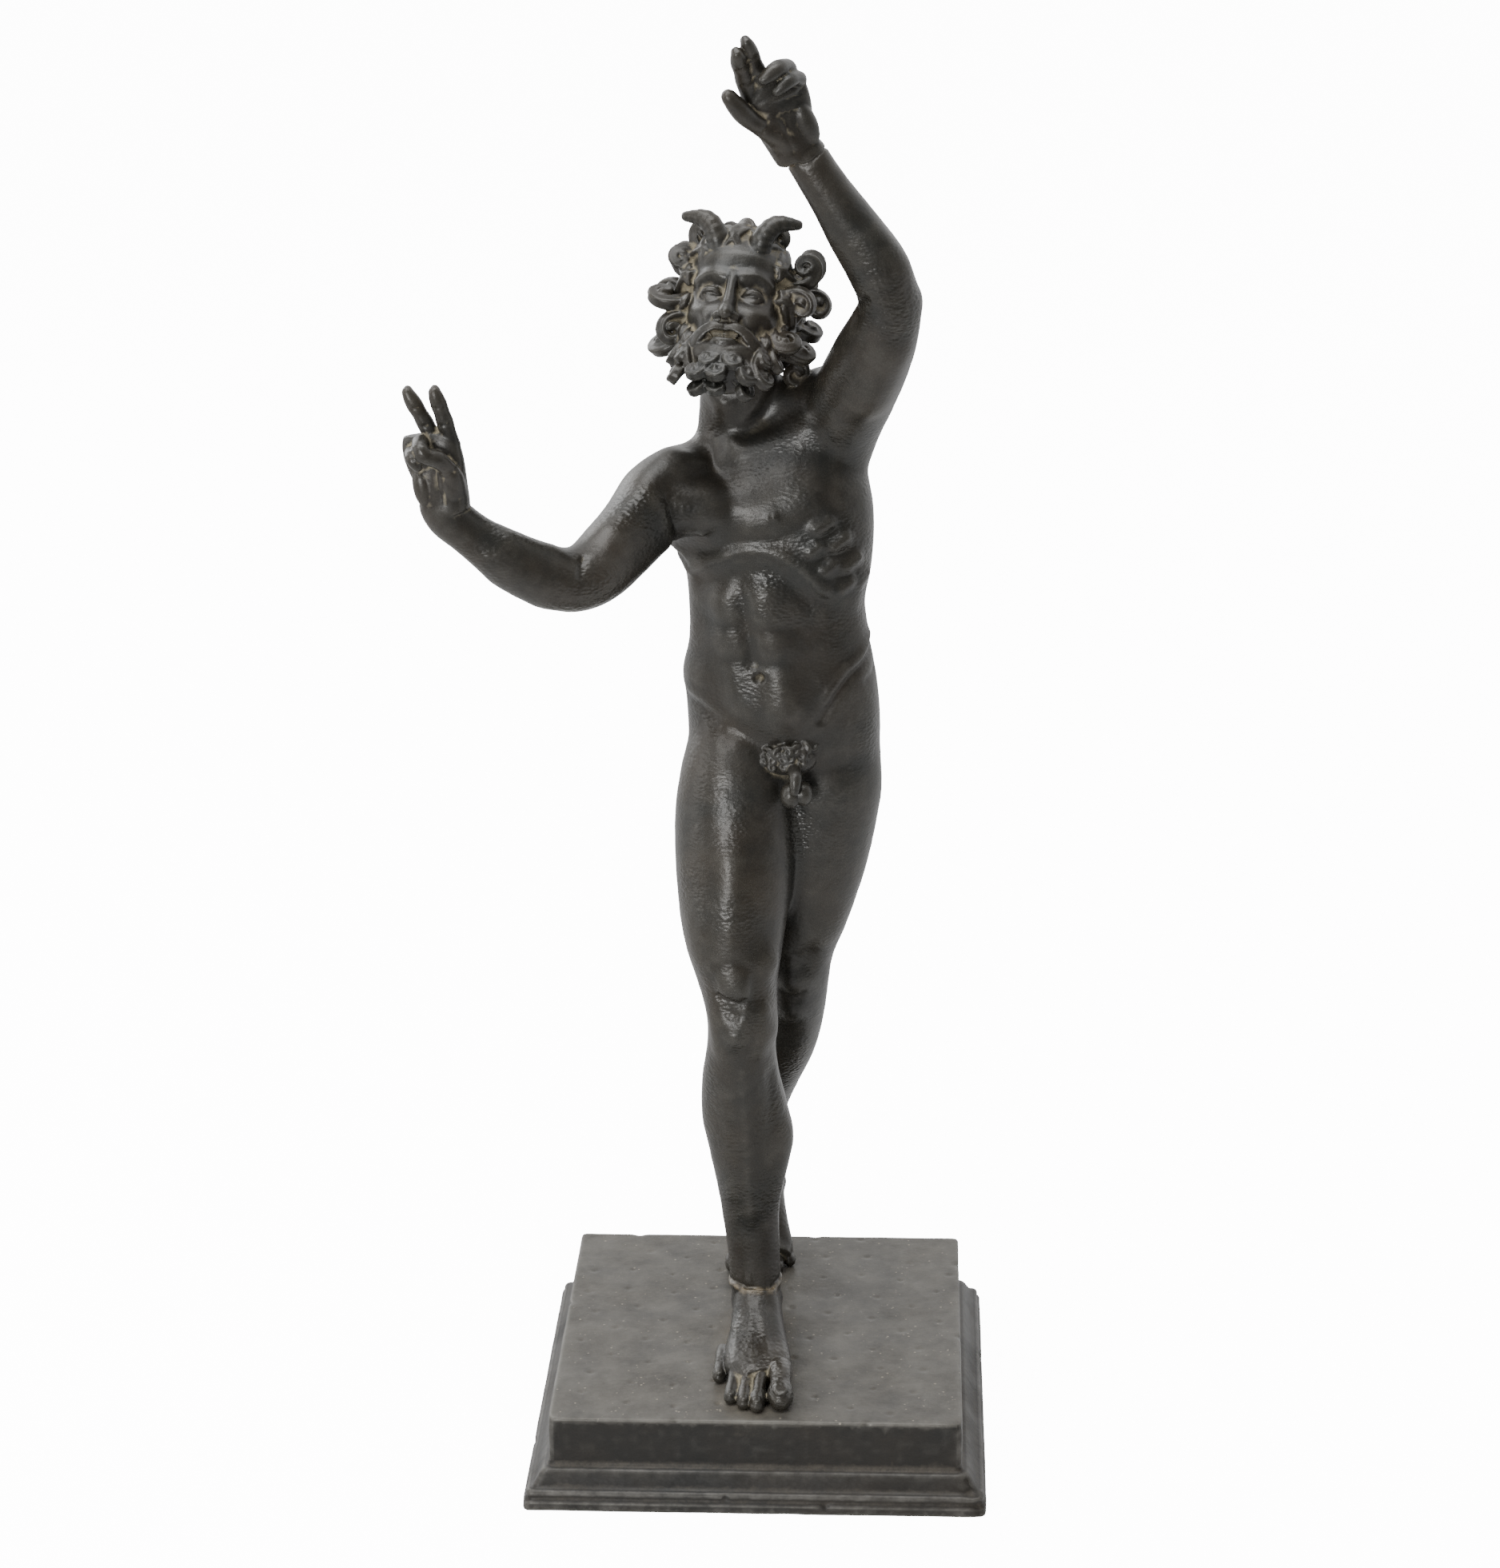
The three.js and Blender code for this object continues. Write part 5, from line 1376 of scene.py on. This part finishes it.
def noise(tree, vector, scale, detail=4, roughness=0.55):
    node = addNode(tree, "ShaderNodeTexNoise")
    feed(tree, node.inputs["Scale"], scale)
    node.inputs["Detail"].default_value = detail
    node.inputs["Roughness"].default_value = roughness
    tree.links.new(vector, node.inputs["Vector"])
    return node.outputs["Fac"]


def castGrainGroup():
    # crackled grain of the casting, in wrinkles wider than high: a height, and the patches it fills
    group, inside, outside = newGroup("castGrain", {"Vector": None, "Scale": 700.0, "Pitting": 0.5},
                                      ["Height", "Patches"])
    vector, scale = inside.outputs["Vector"], inside.outputs["Scale"]
    fine = noise(group, vector, scale, 5, 0.6)
    flatter = addNode(group, "ShaderNodeMapping")
    flatter.inputs["Scale"].default_value = (0.75, 0.75, 1.35)
    cells = addNode(group, "ShaderNodeTexVoronoi", feature="SMOOTH_F1")
    cells.inputs["Smoothness"].default_value = 0.5
    join(group, (vector, flatter.inputs["Vector"]), (flatter.outputs["Vector"], cells.inputs["Vector"]),
         (scale, cells.inputs["Scale"]))
    patches = spread(group, noise(group, vector, 48, 3), 0.44, 0.66)
    cellHeight = multiply(group, cells.outputs["Distance"], inside.outputs["Pitting"])
    share = add(group, multiply(group, patches, 0.85), 0.15)
    rough = multiply(group, cellHeight, share)
    height = add(group, multiply(group, fine, 0.3), rough)
    join(group, (height, outside.inputs["Height"]), (patches, outside.inputs["Patches"]))
    return group


def dustGroup():
    # dust that has settled unevenly where the mask allows it
    group, inside, outside = newGroup("settledDust", {"Vector": None, "Mask": 0.0, "Amount": 1.0}, ["Mask"])
    fine = spread(group, noise(group, inside.outputs["Vector"], 700, 6, 0.7), 0.3, 0.7)
    broad = spread(group, noise(group, inside.outputs["Vector"], 110, 4), 0.3, 0.7)
    broken = add(group, multiply(group, fine, 0.7), multiply(group, broad, 0.5))
    lifted = multiply(group, inside.outputs["Mask"], inside.outputs["Amount"])
    settled = multiply(group, lifted, add(group, broken, 0.35))
    masked = multiply(group, spread(group, settled, 0.12, 0.95), 0.85)
    join(group, (masked, outside.inputs["Mask"]))
    return group


def wearGroup():
    # rubbed metal on the ridges
    group, inside, outside = newGroup("rubbedEdges", {"Vector": None, "Mask": 0.0, "Amount": 1.0}, ["Mask"])
    broken = spread(group, noise(group, inside.outputs["Vector"], 260, 4), 0.3, 0.7)
    worn = multiply(group, multiply(group, inside.outputs["Mask"], inside.outputs["Amount"]),
                    add(group, multiply(group, broken, 0.8), 0.2), clamp=True)
    join(group, (worn, outside.inputs["Mask"]))
    return group


castGrain, settledDust, rubbedEdges = castGrainGroup(), dustGroup(), wearGroup()

finish = {
    "figure": {
        "patina": (0.0126, 0.0126, 0.0108),
        "brown": (0.024, 0.0184, 0.0122),
        "dust": (0.235, 0.205, 0.14),
        "wear": (0.05, 0.046, 0.038),
        "seam": (0.24, 0.19, 0.12),
        "roughness": (0.37, 0.32),
        "shine": 0.5,
        "metallic": 0.15,
        "grainScale": 950.0,
        "pitting": 1.0,
        "bump": 0.6,
        "bumpDepth": 0.0004,
    },
    "plinth": {
        "patina": (0.013, 0.0126, 0.0116),
        "brown": (0.021, 0.0182, 0.0148),
        "dust": (0.15, 0.13, 0.10),
        "wear": (0.15, 0.144, 0.13),
        # painted light: the colour of the top face where light from above falls on it
        "top": (0.122, 0.115, 0.1),
        "speck": (0.26, 0.235, 0.19),
        "roughness": (0.38, 0.52),
        "shine": 0.28,
        "metallic": 0.15,
        "grainScale": 900.0,
        "pitting": 0.5,
        "bump": 0.45,
        "bumpDepth": 0.0003,
    },
}


def mixColour(tree, mask, below, above):
    node = addNode(tree, "ShaderNodeMix", data_type="RGBA")
    tree.links.new(mask, node.inputs["Factor"])
    feed(tree, node.inputs[6], below)
    feed(tree, node.inputs[7], above)
    return node.outputs[2]


def addGroup(tree, group, vector, **values):
    node = addNode(tree, "ShaderNodeGroup", node_tree=group)
    tree.links.new(vector, node.inputs["Vector"])
    for label, value in values.items():
        feed(tree, node.inputs[label], value)
    return node.outputs


def attribute(tree, name):
    return addNode(tree, "ShaderNodeAttribute", attribute_name=name).outputs["Fac"]


def bronzeMaterial(name, look, withSeam):
    material = bpy.data.materials.new(name)
    material.use_nodes = True
    tree = material.node_tree
    shader = tree.nodes["Principled BSDF"]
    vector = addNode(tree, "ShaderNodeTexCoord").outputs["Object"]
    grain = addGroup(tree, castGrain, vector, Scale=look["grainScale"],
                     Pitting=multiply(tree, attribute(tree, "crackle"), look["pitting"]))
    dust = addGroup(tree, settledDust, vector, Mask=attribute(tree, "dust"), Amount=1.0)["Mask"]
    wear = addGroup(tree, rubbedEdges, vector, Mask=attribute(tree, "wear"), Amount=0.8)["Mask"]
    cloud = spread(tree, noise(tree, vector, 38, 5, 0.6), 0.36, 0.66)
    colour = mixColour(tree, cloud, look["patina"], look["brown"])
    if withSeam:
        broken = spread(tree, noise(tree, vector, 520, 4), 0.35, 0.6)
        seam = multiply(tree, multiply(tree, attribute(tree, "seam"), broken), 0.75)
        colour = mixColour(tree, seam, colour, look["seam"])
    else:
        # fine pale specks on the top
        specks = addNode(tree, "ShaderNodeTexVoronoi")
        specks.inputs["Scale"].default_value = 560
        tree.links.new(vector, specks.inputs["Vector"])
        near = spread(tree, specks.outputs["Distance"], 0.24, 0.12)
        sparse = spread(tree, noise(tree, vector, 330, 2), 0.56, 0.64)
        speck = multiply(tree, multiply(tree, near, sparse), attribute(tree, "top"))
        # painted light: the top face mixed unevenly towards a paler colour, as if lit from above
        mottled = spread(tree, noise(tree, vector, 75, 6, 0.7), 0.3, 0.7)
        share = add(tree, multiply(tree, mottled, 0.66), 0.32)
        colour = mixColour(tree, multiply(tree, attribute(tree, "top"), share), colour, look["top"])
        colour = mixColour(tree, speck, colour, look["speck"])
    colour = mixColour(tree, multiply(tree, wear, 0.7), colour, look["wear"])
    colour = mixColour(tree, dust, colour, look["dust"])
    smoothest, roughest = look["roughness"]
    roughness = add(tree, multiply(tree, grain["Patches"], roughest - smoothest), smoothest)
    roughness = add(tree, roughness, multiply(tree, dust, 0.4), clamp=True)
    metal = multiply(tree, mathNode(tree, "SUBTRACT", 1.0, dust), look["metallic"])
    shader.inputs["Specular IOR Level"].default_value = look["shine"]
    bump = addNode(tree, "ShaderNodeBump")
    bump.inputs["Strength"].default_value = look["bump"]
    bump.inputs["Distance"].default_value = look["bumpDepth"]
    join(tree, (colour, shader.inputs["Base Color"]), (roughness, shader.inputs["Roughness"]),
         (metal, shader.inputs["Metallic"]), (grain["Height"], bump.inputs["Height"]),
         (bump.outputs["Normal"], shader.inputs["Normal"]))
    return material


satyr.data.materials.clear()
satyr.data.materials.append(bronzeMaterial("figureBronze", finish["figure"], True))
block.data.materials.clear()
block.data.materials.append(bronzeMaterial("plinthBronze", finish["plinth"], False))
print("finishes made")


# Stage: a pale floor and soft studio lights, as in a light tent open towards the camera. The
# camera sees the floor and the tent brighter than they light the bronze.
stage = {
    "floor": 12,
    "floorDrop": 0.0002,
    "aim": (0, 0, 0.2),
    "colour": (0.9, 0.9, 0.9),
    "seen": 13,
    "wall": 0.25,
    "mirrored": 1.35,
    "floorMirrored": 0.05,
    "floorGlow": 0.78,
    "darkInMirrors": 0.85,
}
lights = {
    "key": {"spot": (-0.44, -1.2, 0.3), "size": (0.34, 0.3), "power": 9},
    "top": {"spot": (-0.1, -0.2, 1.4), "size": (1.0, 0.8), "power": 15},
    "side": {"spot": (-1.2, -0.3, 0.45), "size": (0.7, 0.8), "power": 4},
    "front": {"spot": (-0.6, -0.8, 1.15), "size": (0.6, 0.6), "power": 7},
    "back": {"spot": (-0.9, 0.9, 0.8), "size": (0.6, 1.0), "power": 7},
}


def litFor(tree, seen, mirrored, base):
    # a strength of its own for what the camera sees and for what the bronze mirrors
    path = addNode(tree, "ShaderNodeLightPath")
    direct = multiply(tree, path.outputs["Is Camera Ray"], seen)
    glossy = multiply(tree, path.outputs["Is Glossy Ray"], mirrored)
    return add(tree, add(tree, direct, glossy), base)


def addFloor():
    deselectAll()
    bpy.ops.mesh.primitive_plane_add(size=stage["floor"], location=(0, 0, -stage["floorDrop"]))
    floor = bpy.context.object
    floor.name = "floor"
    material = bpy.data.materials.new("paleFloor")
    material.use_nodes = True
    tree = material.node_tree
    shader = tree.nodes["Principled BSDF"]
    # the bronze mirrors the floor darker than it is
    shade = multiply(tree, addNode(tree, "ShaderNodeLightPath").outputs["Is Glossy Ray"],
                     stage["darkInMirrors"])
    tree.links.new(mixColour(tree, shade, stage["colour"], (0, 0, 0)), shader.inputs["Base Color"])
    shader.inputs["Roughness"].default_value = 0.8
    shader.inputs["Emission Color"].default_value = (1, 1, 1, 1)
    # and brighter from just before the plinth backwards
    axes = addNode(tree, "ShaderNodeSeparateXYZ")
    tree.links.new(addNode(tree, "ShaderNodeTexCoord").outputs["Object"], axes.inputs["Vector"])
    glow = multiply(tree, spread(tree, axes.outputs["Y"], -0.48, -0.28), stage["floorGlow"])
    mirrored = add(tree, glow, stage["floorMirrored"])
    tree.links.new(litFor(tree, stage["seen"], mirrored, 0.0), shader.inputs["Emission Strength"])
    floor.data.materials.append(material)


def addLights():
    for name, light in lights.items():
        bpy.ops.object.light_add(type="AREA", location=light["spot"])
        lamp = bpy.context.object
        lamp.name = name
        lamp.data.shape = "RECTANGLE"
        lamp.data.size, lamp.data.size_y = light["size"]
        lamp.data.energy = light["power"]
        aim = Vector(stage["aim"]) - lamp.location
        lamp.rotation_euler = aim.to_track_quat("-Z", "Y").to_euler()
    world = bpy.data.worlds.new("studio")
    world.use_nodes = True
    tree = world.node_tree
    shade = tree.nodes["Background"]
    shade.inputs["Color"].default_value = (1, 1, 1, 1)
    # the tent mirrors bright behind the figure and darker in front of it
    axes = addNode(tree, "ShaderNodeSeparateXYZ")
    tree.links.new(addNode(tree, "ShaderNodeTexCoord").outputs["Generated"], axes.inputs["Vector"])
    behind = multiply(tree, spread(tree, axes.outputs["Y"], -0.5, 0.5), stage["mirrored"])
    tree.links.new(litFor(tree, stage["seen"], behind, stage["wall"]), shade.inputs["Strength"])
    bpy.context.scene.world = world


addFloor()
addLights()
print("stage lit")
